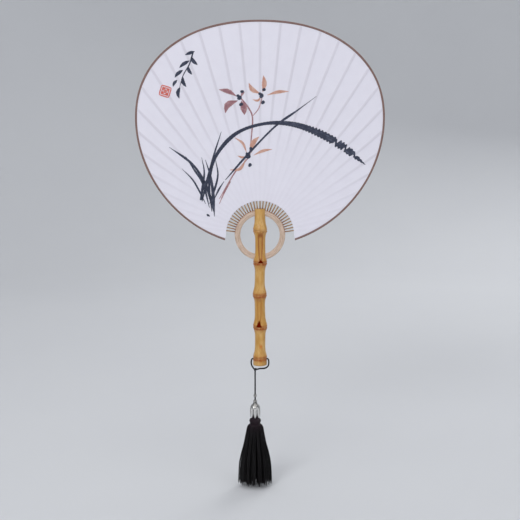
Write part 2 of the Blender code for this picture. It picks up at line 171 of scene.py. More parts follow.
# (node, direction, height of the scar above the node, strength of the painted shade in its groove)
BUDS = (
    (3, FRONT + 0.10, 3.6 * MM, 1.0),
    (1, FRONT - 0.17, 7.4 * MM, 0.5),
    (2, BACK - 0.10, 4.0 * MM, 0.8),
    (0, BACK + 0.15, 5.6 * MM, 0.9),
)


# ---- materials


def linear(screen_colour):
    """A linear colour from 0-255 screen values."""
    shares = (value / 255 for value in screen_colour)
    return tuple(c / 12.92 if c <= 0.04045 else ((c + 0.055) / 1.055) ** 2.4 for c in shares)


class Look:
    """A node material. Most calls add a node and return its output. Colours are 0-255 screen values."""

    def __init__(self, name, roughness=0.5, metallic=0.0):
        self.material = bpy.data.materials.new(name)
        self.material.use_nodes = True
        self.tree = self.material.node_tree
        self.give("Roughness", roughness)
        self.give("Metallic", metallic)

    def feed(self, socket, value):
        if isinstance(value, bpy.types.NodeSocket):
            self.tree.links.new(value, socket)
        elif socket.type == "RGBA":
            socket.default_value = (*linear(value), 1.0)
        else:
            socket.default_value = value

    def give(self, name, value):
        """Feeds an input of the material's shader."""
        self.feed(self.tree.nodes["Principled BSDF"].inputs[name], value)

    def node(self, kind, inputs, **settings):
        """A new node. inputs has a value for each input's name or number."""
        made = self.tree.nodes.new("ShaderNode" + kind)
        for name, value in settings.items():
            setattr(made, name, value)
        for key, value in inputs.items():
            self.feed(made.inputs[key], value)
        return made

    def place(self, stretch=(1.0, 1.0, 1.0)):
        """Position in metres, stretched along each axis."""
        position = self.node("TexCoord", {}).outputs["Object"]
        return self.node("Mapping", {"Vector": position, "Scale": stretch}).outputs["Vector"]

    def stored(self, name):
        """A value stored on the mesh's points."""
        return self.node("Attribute", {}, attribute_name=name).outputs["Fac"]

    def pair(self, along, across):
        """A flat position made of two values."""
        return self.node("CombineXYZ", {"X": along, "Y": across}).outputs["Vector"]

    def noise(self, vector, size, detail=3.0, roughness=0.5):
        inputs = {"Vector": vector, "Scale": 1.0 / size, "Detail": detail, "Roughness": roughness}
        return self.node("TexNoise", inputs).outputs["Fac"]

    def cells(self, vector, size):
        """Distance to the nearest of some scattered points."""
        return self.node("TexVoronoi", {"Vector": vector, "Scale": 1.0 / size}).outputs["Distance"]

    def maths(self, operation, first, second=0.0):
        return self.node("Math", {0: first, 1: second}, operation=operation).outputs[0]

    def times(self, first, second):
        return self.maths("MULTIPLY", first, second)

    def plus(self, first, second):
        return self.maths("ADD", first, second)

    def waves(self, value, period):
        """A sine of the value, from 0 to 1."""
        return self.plus(self.times(self.maths("SINE", self.times(value, TURN / period)), 0.5), 0.5)

    def between(self, value, low, high, start=0.0, end=1.0):
        """A smooth step: start below low, end above high."""
        inputs = {"Value": value, "From Min": low, "From Max": high, "To Min": start, "To Max": end}
        return self.node("MapRange", inputs, interpolation_type="SMOOTHSTEP").outputs["Result"]

    def mix(self, share, first, second):
        return self.node("Mix", {0: share, 6: first, 7: second}, data_type="RGBA").outputs[2]

    def upward(self):
        """How squarely the surface faces along +Z or -Z, from 0 to 1."""
        normal = self.node("NewGeometry", {}).outputs["Normal"]
        return self.maths("ABSOLUTE", self.node("SeparateXYZ", {0: normal}).outputs["Z"])

    def colour(self, *layers):
        """The base colour: the first layer, then each (share, colour) laid over it."""
        mixed, *over = layers
        for share, layer in over:
            mixed = self.mix(share, mixed, layer)
        self.give("Base Color", mixed)

    def bump(self, height, depth):
        self.give("Normal", self.node("Bump", {"Height": height, "Distance": depth}).outputs["Normal"])


def paper_look():
    """Fibrous white paper, with painted shade along the ribs behind it."""
    look = Look("leaf_paper_look")
    mottle = look.noise(look.place(), 14 * MM, 4.0, 0.6)
    fibres = look.noise(look.place((1.0, 1.0, 4.0)), 1.6 * MM, 4.0, 0.7)
    flecks = look.between(look.noise(look.place((3.0, 1.0, 1.0)), 0.9 * MM, 2.0), 0.68, 0.78)
    look.colour(
        look.mix(mottle, (226, 223, 233), (234, 232, 241)),
        (look.times(fibres, 0.25), (206, 204, 218)),
        (look.times(flecks, 0.22), (190, 182, 186)),
        # Painted shade where the ribs lie behind the paper.
        (look.times(look.between(look.stored("ridge"), 0.0, 1.0), 0.34), (186, 180, 190)),
    )
    look.give("Roughness", look.between(fibres, 0.3, 0.7, 0.78, 0.92))
    look.bump(look.plus(fibres, look.times(mottle, 0.5)), 0.05 * MM)
    return look


def binding_look():
    """A thin woven strip, brown with a mauve cast."""
    look = Look("edge_binding_look", 0.7)
    along, across = look.stored("along"), look.stored("across")
    weave = look.maths("MAXIMUM", look.waves(across, 0.32 * MM), look.waves(along, 0.30 * MM))
    patches = look.noise(look.pair(along, across), 7 * MM)
    worn = look.between(look.noise(look.place(), 3 * MM, 4.0), 0.58, 0.74, 0.0, 0.35)
    look.colour(
        look.mix(patches, (104, 76, 70), (134, 104, 98)),
        (look.times(weave, 0.35), (152, 124, 116)),
        (worn, (158, 136, 130)),
    )
    look.bump(weave, 0.06 * MM)
    return look


def strip_look(name, light, dark, darkening):
    """Split bamboo with fibres along its length, darkened towards the last colour where its stored share
    is high.
    """
    look = Look(name)
    along, across = look.stored("along"), look.stored("across")
    fibres = look.noise(look.pair(look.times(along, 0.05), across), 0.22 * MM, roughness=0.6)
    streaks = look.noise(look.pair(look.times(along, 0.12), across), 1.1 * MM)
    look.colour(
        look.mix(look.between(streaks, 0.3, 0.7), light, dark),
        (look.between(fibres, 0.45, 0.7, 0.0, 0.45), (128, 98, 70)),
        (look.stored("darkening"), darkening),
    )
    look.give("Roughness", look.between(fibres, 0.3, 0.7, 0.38, 0.58))
    look.bump(fibres, 0.05 * MM)
    return look


def root_look():
    """Lacquered bamboo root: honey skin, orange-brown nodes, dark bud scars and fibrous cut ends, with
    painted shade in the grooves and along the butt's bottom edge.
    """
    look = Look("bamboo_root_look")
    streaks = look.noise(look.place((1.0, 1.0, 0.045)), 0.8 * MM, 4.0, 0.6)
    patches = look.noise(look.place((1.0, 1.0, 0.35)), 5 * MM)
    broken = look.between(look.noise(look.place((1.0, 1.0, 0.5)), 2.2 * MM), 0.3, 0.6, 0.55, 1.0)
    pores = look.between(look.cells(look.place(), 0.75 * MM), 0.12, 0.3)
    look.colour(
        look.mix(look.between(patches, 0.3, 0.7), (212, 170, 102), (192, 142, 62)),
        (look.times(look.stored("warm"), look.between(patches, 0.2, 0.6, 0.55, 1.0)), (192, 138, 50)),
        (look.between(streaks, 0.44, 0.74, 0.0, 0.5), (150, 94, 36)),
        (look.times(look.stored("band"), broken), (158, 76, 0)),
        (look.times(look.stored("spot"), look.between(streaks, 0.36, 0.56, 0.45, 1.0)), (196, 106, 16)),
        # Painted shade on the walls and floor of the hollows above the buds.
        (look.stored("groove_shade"), (140, 72, 0)),
        # Dark node rings and hole edges, with painted shade along the butt's bottom edge.
        (look.stored("line"), (98, 40, 0)),
        (look.stored("scar"), (98, 18, 0)),
        (look.between(look.upward(), 0.93, 0.98), look.mix(pores, (104, 64, 30), (190, 150, 98))),
    )
    skin = look.maths("SUBTRACT", 1.0, look.stored("scar"))
    rough = look.between(streaks, 0.3, 0.7, 0.26, 0.46)
    look.give("Roughness", look.plus(rough, look.times(look.stored("scar"), 0.4)))
    look.give("Coat Weight", look.times(skin, 0.2))
    look.give("Specular IOR Level", look.times(skin, 0.4))
    look.give("Coat Roughness", 0.18)
    look.bump(streaks, 0.06 * MM)
    return look


def ink_look(name, dark, pale):
    """Ink or watercolour soaked into paper. The stored value wash thins the colour."""
    look = Look(name, 0.8)
    fibres = look.noise(look.place(), 0.8 * MM, 4.0, 0.7)
    pooled = look.noise(look.place(), 5 * MM)
    thin = look.plus(look.stored("wash"), look.between(pooled, 0.35, 0.75, -0.12, 0.18))
    thin = look.plus(thin, look.between(fibres, 0.4, 0.75, -0.05, 0.16))
    look.colour(look.mix(look.between(thin, 0.0, 1.0), dark, pale))
    look.bump(fibres, 0.03 * MM)
    return look


def thread_look(name, dark, light, roughness):
    """Twisted silk or cotton: fine ply lines, with a sheen that shifts between threads."""
    look = Look(name)
    ply = look.noise(look.place((1.0, 1.0, 0.25)), 0.35 * MM, 2.0)
    locks = look.noise(look.place((1.0, 1.0, 0.12)), 2.5 * MM, 2.0)
    look.colour(
        look.mix(look.between(ply, 0.35, 0.7), dark, light),
        (look.between(locks, 0.4, 0.7, 0.0, 0.5), dark),
        # A purple cast: on the head and neck partly the silk's own colour and partly painted sheen, on the
        # skirt's upper threads painted sheen.
        (look.times(look.stored("tint"), 0.8), (38, 22, 32)),
    )
    look.give("Roughness", look.between(ply, 0.3, 0.7, roughness - 0.1, roughness + 0.1))
    look.give("Specular IOR Level", 0.3)
    look.bump(ply, 0.04 * MM)
    return look


def silver_look():
    """Worn silver, bright on the crests, with painted shade darkening the recesses."""
    look = Look("silver_look", metallic=1.0)
    tarnish = look.noise(look.place(), 1.6 * MM, 4.0, 0.6)
    scratches = look.noise(look.place((6.0, 6.0, 1.0)), 1.0 * MM)
    look.colour(
        look.mix(look.between(tarnish, 0.3, 0.75), (242, 241, 238), (206, 204, 200)),
        # Painted shade in the hollows, seams and inner faces.
        (look.stored("recess"), (30, 28, 28)),
    )
    look.give("Roughness", look.between(look.plus(tarnish, scratches), 0.7, 1.3, 0.18, 0.42))
    look.bump(scratches, 0.02 * MM)
    return look


# ---- mesh building


def smooth_step(value, low, high):
    """0 below low, 1 above high and smooth between them."""
    share = np.clip((value - low) / (high - low), 0.0, 1.0)
    return share * share * (3 - 2 * share)


def bump_at(distance, spread):
    """1 at no distance, falling away over the spread."""
    return np.exp(-((distance / spread) ** 2))


def signed_power(value, exponent):
    return np.sign(value) * np.abs(value) ** exponent


def grid_faces(rows, columns, wrap=False, wrap_rows=False):
    """Quads of a grid whose points are numbered row by row."""
    down = np.arange(rows if wrap_rows else rows - 1)
    across = np.arange(columns if wrap else columns - 1)
    row, column = np.meshgrid(down, across, indexing="ij")
    beside = (column + 1) % columns
    below = (row + 1) % rows
    corners = (row * columns + column, row * columns + beside)
    corners += (below * columns + beside, below * columns + column)
    return np.stack(corners, -1).reshape(-1, 4)


def points_at(*parts):
    """Points from their x, y and z, each a number or an array."""
    return np.stack(np.broadcast_arrays(*parts), -1)


def full_turn(columns):
    """Evenly spaced directions round a circle."""
    return np.arange(columns) * TURN / columns


class Shape:
    """Points, faces and stored point values, gathered into one mesh."""

    def __init__(self):
        self.points, self.faces, self.values, self.size = [], [], {}, 0

    def add(self, points, faces, caps=(), **values):
        """Adds quads, other faces (caps) and, for each name, one value or a value for each point."""
        points = np.asarray(points, float).reshape(-1, 3)
        self.faces += (np.asarray(faces) + self.size).tolist()
        self.faces += [[i + self.size for i in cap] for cap in caps]
        for name, value in values.items():
            value = np.asarray(value, float).ravel()
            self.values.setdefault(name, []).append(np.resize(value, len(points)))
        self.points.append(points)
        self.size += len(points)
        return self

    def skin(self, rings, closed=False, **values):
        """Adds a skin over rings of points, either closed into a loop of rings or capped at both ends."""
        rows, columns = rings.shape[:2]
        first, last = np.arange(columns), np.arange(columns) + (rows - 1) * columns
        caps = [] if closed else [first[::-1].tolist(), last.tolist()]
        return self.add(rings, grid_faces(rows, columns, wrap=True, wrap_rows=closed), caps, **values)

    def mesh(self, name):
        mesh = bpy.data.meshes.new(name)
        mesh.from_pydata(np.concatenate(self.points).tolist(), [], self.faces)
        for key, parts in self.values.items():
            store(mesh, key, np.concatenate(parts))
        return mesh

    def closed_mesh(self, name):
        return edit_faces(self.mesh(name), bmesh.ops.recalc_face_normals)


def edit_faces(mesh, operation, wanted=None):
    """Runs a bmesh operation on the wanted faces, or on all of them."""
    work = bmesh.new()
    work.from_mesh(mesh)
    work.faces.ensure_lookup_table()
    operation(work, faces=work.faces if wanted is None else [work.faces[i] for i in wanted])
    work.to_mesh(mesh)
    work.free()
    return mesh


def store(mesh, name, values):
    """Keeps one value for each point, for the material to read."""
    attribute = mesh.attributes.get(name) or mesh.attributes.new(name, "FLOAT", "POINT")
    attribute.data.foreach_set("value", np.asarray(values, np.float32))


def points_of(mesh):
    flat = np.zeros(len(mesh.vertices) * 3, np.float32)
    mesh.vertices.foreach_get("co", flat)
    return flat.reshape(-1, 3).astype(float)


def add_object(name, data):
    made = bpy.data.objects.new(name, data)
    bpy.context.scene.collection.objects.link(made)
    return made


def new_piece(name, mesh, look, node=None, body="fan", sharp=40.0):
    """An object from the mesh. It stands for the node and rides on the body, where one is given."""
    mesh.shade_smooth()
    mesh.set_sharp_from_angle(angle=math.radians(sharp))
    mesh.materials.clear()
    mesh.materials.append(look.material)
    piece = add_object(name, mesh)
    if node:
        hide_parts(node)
    if body:
        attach(piece, body)
    return piece


def thicken(piece, thickness):
    """Gives a sheet a back and edges, behind its shown face."""
    solidify = piece.modifiers.new("thickness", "SOLIDIFY")
    solidify.thickness = thickness
    solidify.offset = -1.0


def unit(vectors):
    return vectors / np.linalg.norm(vectors, axis=-1, keepdims=True)


def frames_along(path, first_normal):
    """Two directions across the path at each of its points, turning as little as possible."""
    tangents = unit(np.gradient(path, axis=0))
    normal = np.asarray(first_normal, float)
    normals = []
    for tangent in tangents:
        normal = unit(normal - tangent * (normal @ tangent))
        normals.append(normal)
    normals = np.array(normals)
    return normals, np.cross(tangents, normals)


def tube(path, radius, sides, first_normal=(0, 1, 0), closed=False):
    """Rings of points of a round tube. radius is one number, or one for each path point."""
    path = np.asarray(path, float)
    if closed:
        ends = np.concatenate([path[-1:], path, path[:1]])
        normals, binormals = (side[1:-1] for side in frames_along(ends, first_normal))
    else:
        normals, binormals = frames_along(path, first_normal)
    angles = full_turn(sides)
    across = np.cos(angles)[None, :, None] * normals[:, None, :]
    across = across + np.sin(angles)[None, :, None] * binormals[:, None, :]
    radii = np.broadcast_to(np.asarray(radius, float), len(path))
    return path[:, None, :] + across * radii[:, None, None]


def reached_along(points):
    """Length of the path up to each of its points."""
    return np.concatenate([[0], np.cumsum(np.linalg.norm(np.diff(points, axis=0), axis=1))])


def curve_through(corners, spacing, closed=False):
    """Evenly spaced points along a smooth curve through the corners."""
    corners = np.asarray(corners, float)
    count = len(corners)
    if closed:
        padded = corners[np.arange(-1, count + 2) % count]
    else:
        first, last = 2 * corners[0] - corners[1], 2 * corners[-1] - corners[-2]
        padded = np.concatenate([[first], corners, [last]])
    t = np.linspace(0, 1, 24, endpoint=False)[:, None]
    parts = []
    for a, b, c, d in zip(padded, padded[1:], padded[2:], padded[3:]):
        cube = (3 * b - a - 3 * c + d) * t**3
        parts.append(b + 0.5 * ((c - a) * t + (2 * a - 5 * b + 4 * c - d) * t**2 + cube))
    dense = np.concatenate(parts + [padded[-2:-1]])
    reached = reached_along(dense)
    steps = max(3, round(reached[-1] / spacing))
    wanted = np.linspace(0, reached[-1], steps, endpoint=not closed)
    return np.stack([np.interp(wanted, reached, dense[:, i]) for i in range(3)], -1)


def cut_mesh(mesh, cutters):
    """The mesh with each cutter's mesh taken away."""
    target = add_object("cut_target", mesh)
    helpers = [add_object("cutter", cutter) for cutter in cutters]
    for helper in helpers:
        modifier = target.modifiers.new(helper.name, "BOOLEAN")
        modifier.operation = "DIFFERENCE"
        modifier.object = helper
    bpy.context.view_layer.update()
    graph = bpy.context.evaluated_depsgraph_get()
    result = bpy.data.meshes.new_from_object(target.evaluated_get(graph))
    for helper in helpers + [target]:
        bpy.data.objects.remove(helper)
    return result


def box_cutter(sizes_and_places):
    """One mesh of boxes, each from its (size, placement matrix)."""
    shape = Shape()
    corners = np.array([(x, y, z) for x in (-1, 1) for y in (-1, 1) for z in (-1, 1)]) / 2
    sides = ((0, 1, 3, 2), (4, 6, 7, 5), (0, 4, 5, 1), (2, 3, 7, 6), (0, 2, 6, 4), (1, 5, 7, 3))
    for size, placement in sizes_and_places:
        placed = [placement @ Vector(corner * np.array(size)) for corner in corners]
        shape.add(placed, sides)
    return shape.mesh("boxes")


def rod_cutter(start, end, radius):
    return Shape().skin(tube([start, end], radius, 24, first_normal=(0.3, 0.2, 0.9))).mesh("rod")


# ---- leaf shape


def leaf_axes(inset):
    return LEAF_HALF_WIDTH - inset, LEAF_RISE - inset, LEAF_DROP - inset


def reach(angles, inset):
    """Distance from the hoop's centre to the inset outline, found by halving along each direction."""
    half_width, rise, drop = leaf_axes(inset)
    near = np.full(np.shape(angles), RING_OUTER_R)
    far = np.full(np.shape(angles), LEAF_RISE + LEAF_DROP)
    for _ in range(HALVINGS):
        trial = (near + far) / 2
        x = np.abs(trial * np.cos(angles)) / half_width
        up = RING_Z + trial * np.sin(angles) - LEAF_CENTRE_Z
        upper = x**UPPER_EXPONENT + (np.abs(up) / rise) ** UPPER_EXPONENT
        lower = x**LOWER_EXPONENT + (np.abs(up) / drop) ** LOWER_EXPONENT
        inside = np.where(up >= 0, upper, lower) < 1
        near, far = np.where(inside, trial, near), np.where(inside, far, trial)
    return near


def outline_points(shares, inset):
    """(x, z) on the inset outline. Share 0 is the right lower corner and 1 the left one."""
    half_width, rise, drop = leaf_axes(inset)
    corner = -np.arccos((CORNER_X / half_width) ** (LOWER_EXPONENT / 2))
    angle = corner + (math.pi - 2 * corner) * shares
    side, up = np.cos(angle), np.sin(angle)
    exponent = np.where(up >= 0, UPPER_EXPONENT, LOWER_EXPONENT)
    z = np.where(up >= 0, rise, drop) * signed_power(up, 2 / exponent)
    return half_width * signed_power(side, 2 / exponent), LEAF_CENTRE_Z + z


def rib_angles():
    return math.pi / 2 + (np.arange(RIB_COUNT) - (RIB_COUNT - 1) / 2) * RIB_PITCH


def inner_reach(angles):
    """Distance from the hoop's centre to the inner edge of the paper."""
    folded = np.where(np.sin(angles) < 0, np.abs(np.cos(angles)), 1.0)
    below = np.clip(np.arcsin(np.clip(np.sin(angles), -1, 0)) / corner_angle(), 0, 1)
    return (OPENING_R + (CORNER_X - OPENING_R) * below) / folded


def corner_angle():
    """Angle of the paper's right lower corner at the hoop's centre."""
    half_width, _, drop = leaf_axes(PAPER_INSET)
    fall = drop * (1 - (CORNER_X / half_width) ** LOWER_EXPONENT) ** (1 / LOWER_EXPONENT)
    return math.atan2(LEAF_CENTRE_Z - fall - RING_Z, CORNER_X)


def ripple(x, z):
    """A slow unevenness of hand-glued paper, between -1 and 1."""
    waves = ((183, 69, 0.4), (-111, 213, 1.9), (339, -141, 3.1), (87, 393, 5.0))
    return sum(np.sin(a * x + b * z + c) for a, b, c in waves) / len(waves)


def rib_crest(x, z):
    """(1 over a rib and 0 beside it and past its end, 1 where ribs reach, distance from the hoop)."""
    up = z - RING_Z
    angle = np.arctan2(up, x)
    distance = np.hypot(x, up)
    first, last = rib_angles()[0], rib_angles()[-1]
    nearest = np.clip(np.round((angle - first) / RIB_PITCH) * RIB_PITCH + first, first, last)
    aside = np.abs(distance * np.sin(np.clip(angle - nearest, -1.5, 1.5)))
    ribbed = smooth_step(reach(angle, RIB_END_INSET) - distance, -1.2 * MM, 0.8 * MM)
    return (1 - smooth_step(aside, RIDGE_FLAT, RIDGE_FOOT)) * ribbed, ribbed, distance


def ridge_at(x, z):
    """The papers' relief, from 0 to 1. Close ribs leave no deep valleys between them."""
    crest, ribbed, distance = rib_crest(x, z)
    filled = 0.75 * (1 - smooth_step(distance, SOFT_FROM, SOFT_TO))
    return crest + (1 - crest) * filled * ribbed


def leaf_height(x, z):
    """Distance of the painted face from the middle of the leaf."""
    return VALLEY + (CREST - VALLEY) * ridge_at(x, z) + 0.05 * MM * ripple(x, z)


def leaf_columns():
    """(angle, offset, next angle, next offset, share) for each radial line of the paper's grid."""
    angles = rib_angles()
    edge = corner_angle()
    steps = np.linspace(0, 1, 13)
    columns = [(edge, 0.0, angles[0], -RIDGE_FOOT, share) for share in steps[:-1]]
    beside = np.array([0.0, 0.5, 0.85, 1.2, 1.55, 1.85, 2.2]) * MM
    for i, angle in enumerate(angles):
        columns += [(angle, offset, angle, offset, 0.0) for offset in (*-beside[:0:-1], *beside)]
        if i < RIB_COUNT - 1:
            columns += [(angle, RIDGE_FOOT, angles[i + 1], -RIDGE_FOOT, share) for share in (0.33, 0.67)]
    columns += [(angles[-1], RIDGE_FOOT, math.pi - edge, 0.0, share) for share in steps[1:]]
    return np.array(columns).T


def leaf_grid():
    """x and z of the paper's grid: rows run outwards, columns follow the ribs.

    A point's direction depends on its distance and the other way round, so both settle in a few rounds.
    """
    angle, offset, next_angle, next_offset, share = leaf_columns()
    rows = np.concatenate([[0, 0.004], np.linspace(0.014, 0.985, 60), [0.993, 1]])[:, None]
    distance = np.full((len(rows), len(angle)), 100 * MM)
    for _ in range(SETTLING_ROUNDS):
        squeeze = np.minimum(1.0, 0.44 * RIB_PITCH * distance / RIDGE_FOOT)
        near = angle + np.arcsin(offset * squeeze / distance)
        far = next_angle + np.arcsin(next_offset * squeeze / distance)
        way = near * (1 - share) + far * share
        inner, outer = inner_reach(way), reach(way, PAPER_INSET)
        distance = np.maximum(inner + (outer - inner) * rows, inner)
    return distance * np.cos(way), RING_Z + distance * np.sin(way)


def make_papers():
    look = paper_look()
    x, z = leaf_grid()
    crest, _, distance = rib_crest(x, z)
    # Painted shade along each rib seen through the paper, fainter near the hoop.
    line = crest * (0.26 + 0.74 * smooth_step(distance, 70 * MM, 175 * MM))
    faces = grid_faces(*x.shape)
    for name, node, side in (("leaf_front", "front_paper", -1), ("leaf_back", "back_paper", 1)):
        points = points_at(x, side * leaf_height(x, z), z)
        shape = Shape().add(points, faces[:, ::side], ridge=line)
        thicken(new_piece(name, shape.mesh(name), look, node), PAPER_THICKNESS)


def make_binding():
    """A folded strip: a U-shaped section carried along the leaf's edge."""
    outer = ((2.2, 0.72), (2.0, 0.86), (1.2, 0.93), (0.5, 0.88), (0.12, 0.66), (0.0, 0.3))
    inner = ((0.55, 0.25), (0.75, 0.46), (2.16, 0.50))
    half = list(outer) + [(inset, -y) for inset, y in reversed(outer)]
    section = half + [(inset, -y) for inset, y in reversed(inner)] + list(inner)
    shares = np.linspace(0, 1, 421)
    wander = 0.12 * MM * np.sin(shares * 61) * np.sin(shares * 23 + 1)
    rings, across = [], []
    for inset, y in section:
        wobble = wander * inset * MM / BINDING_WIDTH
        x, z = outline_points(shares, inset * MM)
        x_in, z_in = outline_points(shares, (inset + 1) * MM)
        rings.append(points_at(x + wobble * (x_in - x) / MM, y * MM, z + wobble * (z_in - z) / MM))
        across.append((inset + 3 * (y < 0)) * MM)
    rings = np.stack(rings, 1)
    along = np.repeat(reached_along(rings[:, 0]), len(section))
    mesh = Shape().skin(rings, along=along, across=across).closed_mesh("edge_strip")
    new_piece("edge_strip", mesh, binding_look(), "rim_binding", sharp=60)


# ---- bamboo strips


def rounded_section(half_width, half_height, points, exponent=5.0):
    """Points round a rectangle with softened corners."""
    angles = full_turn(points)
    across, up = signed_power(np.cos(angles), 2 / exponent), signed_power(np.sin(angles), 2 / exponent)
    return across * half_width, up * half_height


def make_hoop(look):
    """A bamboo strip bent into a ring, with a socket for each rib."""
    radial, thick = rounded_section((RING_OUTER_R - RING_INNER_R) / 2, RING_THICKNESS / 2, 24)
    turns = full_turn(192)[:, None]
    mid = (RING_OUTER_R + RING_INNER_R) / 2
    spread = mid + radial + 0.04 * MM * np.sin(turns * 5)
    rings = points_at(spread * np.cos(turns), thick, RING_Z + spread * np.sin(turns))
    mesh = Shape().skin(rings, closed=True).closed_mesh("hoop")
    size = (3.4 * MM, RIB_THICKNESS + 0.25 * MM, RIB_WIDTH + 0.3 * MM)
    centre, edge = Matrix.Translation((0, 0, RING_Z)), Matrix.Translation((RING_OUTER_R, 0, 0))
    sockets = [(size, centre @ Matrix.Rotation(-a, 4, "Y") @ edge) for a in rib_angles()]
    mesh = cut_mesh(mesh, [box_cutter(sockets)])
    points = points_of(mesh)
    from_top = np.arctan2(-points[:, 0], points[:, 2] - RING_Z)
    distance = np.hypot(points[:, 2] - RING_Z, points[:, 0])
    store(mesh, "along", from_top * mid)
    store(mesh, "across", distance + np.abs(points[:, 1]) * 0.7)
    fan_side = smooth_step(np.cos(from_top), -0.05, 0.15)
    # Darker along the hoop's outer edge, on the side where the ribs go in.
    edge_darkening = smooth_step(distance, RING_OUTER_R - 1.2 * MM, RING_OUTER_R) * fan_side
    store(mesh, "darkening", 0.75 * edge_darkening)
    new_piece("hoop", mesh, look, "ring", sharp=35)


def make_ribs(look, rng):
    """Split strips, each a little bowed, from the hoop's sockets almost to the edge strip."""
    for number, angle in enumerate(rib_angles(), start=1):
        end = float(reach(np.array(angle), RIB_END_INSET))
        along = np.concatenate([np.linspace(RIB_INNER_R, 44 * MM, 12), np.linspace(60 * MM, end, 6)])
        along = np.unique(np.clip(along, RIB_INNER_R, end))
        width = RIB_WIDTH / 2 * rng.uniform(0.9, 1.02)
        sides, y = rounded_section(width, RIB_THICKNESS / 2, 12, 4.0)
        bend = rng.uniform(-0.12, 0.12) * MM * np.sin((along - along[0]) * 90)
        out = along[:, None] * np.ones(len(sides))
        aside = bend[:, None] + sides
        x = out * math.cos(angle) - aside * math.sin(angle)
        z = RING_Z + out * math.sin(angle) + aside * math.cos(angle)
        shift = rng.uniform(0, 1)
        # Darker where the rib goes into the hoop.
        darkening = 0.75 * (1 - smooth_step(out, RING_OUTER_R, RING_OUTER_R + 5 * MM))
        values = {"along": out + shift, "across": aside + y + shift, "darkening": darkening}
        node = f"rib_{number:02d}"
        mesh = Shape().skin(points_at(x, y, z), **values).closed_mesh("bamboo_" + node)
        new_piece("bamboo_" + node, mesh, look, node, sharp=50)


def make_pegs(look):
    """Short round pegs with softly domed ends, driven in from the back."""
    for node in ("ring_peg_upper", "ring_peg_lower"):
        low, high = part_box(node)
        centre, radius = middle(node), half_size(node).x
        dome = np.linspace(0, math.pi / 2, 6)
        y = np.concatenate([[low.y], high.y - 0.5 * MM + 0.5 * MM * np.sin(dome)])
        radii = np.concatenate([[radius], radius * np.maximum(np.cos(dome) ** 0.6, 0.12)])
        path = [(centre.x, place, centre.z) for place in y]
        rings = tube(path, radii, 20, first_normal=(1, 0, 0))
        values = {"along": rings[..., 1], "across": rings[..., 0] + rings[..., 2], "darkening": 0.15}
        name = node.replace("ring_", "bamboo_")
        new_piece(name, Shape().skin(rings, **values).mesh(name), look, node)


# ---- handle


def from_node(z, angle):
    """Height above the nearest node, measured to its slightly tilted and wavy ring."""
    nodes = np.array(NODE_HEIGHTS)
    nearest = np.argmin(np.abs(z[..., None] - nodes), -1)
    tilt = 0.45 * MM * np.sin(angle + nearest * 2.1)
    wave = 0.16 * MM * np.sin(3 * angle + nearest * 1.3)
    return z - nodes[nearest] + tilt + wave


def around(angle, centre):
    """Arc length from a direction on the handle, at its plain radius."""
    return np.angle(np.exp(1j * (angle - centre))) * INTERNODE_R


def buds_at(z, angle):
    """For each bud: height above its node, distance aside from it, its scar's height, its strength."""
    for node, side, height, strength in BUDS:
        yield z - NODE_HEIGHTS[node] + 0 * angle, np.abs(around(angle, side)) + 0 * z, height, strength


def stretch_of(up, starts, full, fades, ends):
    """1 between the heights full and fades, 0 below starts and above ends. The four are in mm."""
    return smooth_step(up, starts * MM, full * MM) * (1 - smooth_step(up, fades * MM, ends * MM))


def groove_parts(z, angle):
    """For each bud: 1 on the floor of the hollow that runs up from it, and the strength of its painted
    shade.
    """
    for up, aside, _, strength in buds_at(z, angle):
        width = (1.3 + 0.9 * smooth_step(up, 4 * MM, 20 * MM)) * MM
        yield (1 - smooth_step(aside, width * 0.55, width * 1.6)) * stretch_of(up, 1, 6, 27, 35), strength


def groove_depth(z, angle):
    return sum(floor for floor, _ in groove_parts(z, angle))


def groove_shading(z, angle):
    """Painted shade: 1 on the walls of each hollow, less on its floor."""
    parts = groove_parts(z, angle)
    return sum((3.2 * floor * (1 - floor) + 0.2 * floor) * strength for floor, strength in parts)


def warm_side(z, angle):
    """1 on the grooved sides of the stem, which are browner."""
    total = 0
    for up, aside, _, _ in buds_at(z, angle):
        total = total + (1 - smooth_step(aside, 4 * MM, 11 * MM)) * stretch_of(up, -2, 5, 28, 36)
    return np.clip(total, 0, 1)


def bud_mask(z, angle):
    """1 inside each bud scar, a triangle that stands on the node."""
    total = 0
    for up, aside, height, _ in buds_at(z, angle):
        half = 2.5 * MM * (1 - 0.8 * np.clip(up / height, 0, 1))
        tall = stretch_of(up, -0.5, 0.4, height / MM - 1.0, height / MM + 0.4)
        total = total + smooth_step(half - aside, -0.4 * MM, 0.4 * MM) * tall
    return np.clip(total, 0, 1)


def bud_lift(z, angle):
    """1 on the soft bulge round each bud."""
    parts = buds_at(z, angle)
    return sum(bump_at(aside, 2.6 * MM) * bump_at(up - 1.2 * MM, 2.6 * MM) for up, aside, _, _ in parts)


def root_dots(height, angle):
    """1 at the trimmed rootlets, small dots in an uneven row round each node."""
    place = angle / TURN * ROOTLETS + 0.25 * np.sin(angle * 3)
    number = np.round(place)
    aside = (place - number) * TURN * NODE_R / ROOTLETS
    row = height + 1.5 * MM + 0.35 * MM * np.sin(number * 2.4)
    size = (0.42 + 0.12 * np.sin(number * 1.7)) * MM
    return smooth_step(size - np.hypot(aside, row), -0.12 * MM, 0.12 * MM)


def swelling_at(height):
    """A node's swelling, longer above it than below."""
    return bump_at(height, np.where(height > 0, FLARE_ABOVE, FLARE_BELOW))


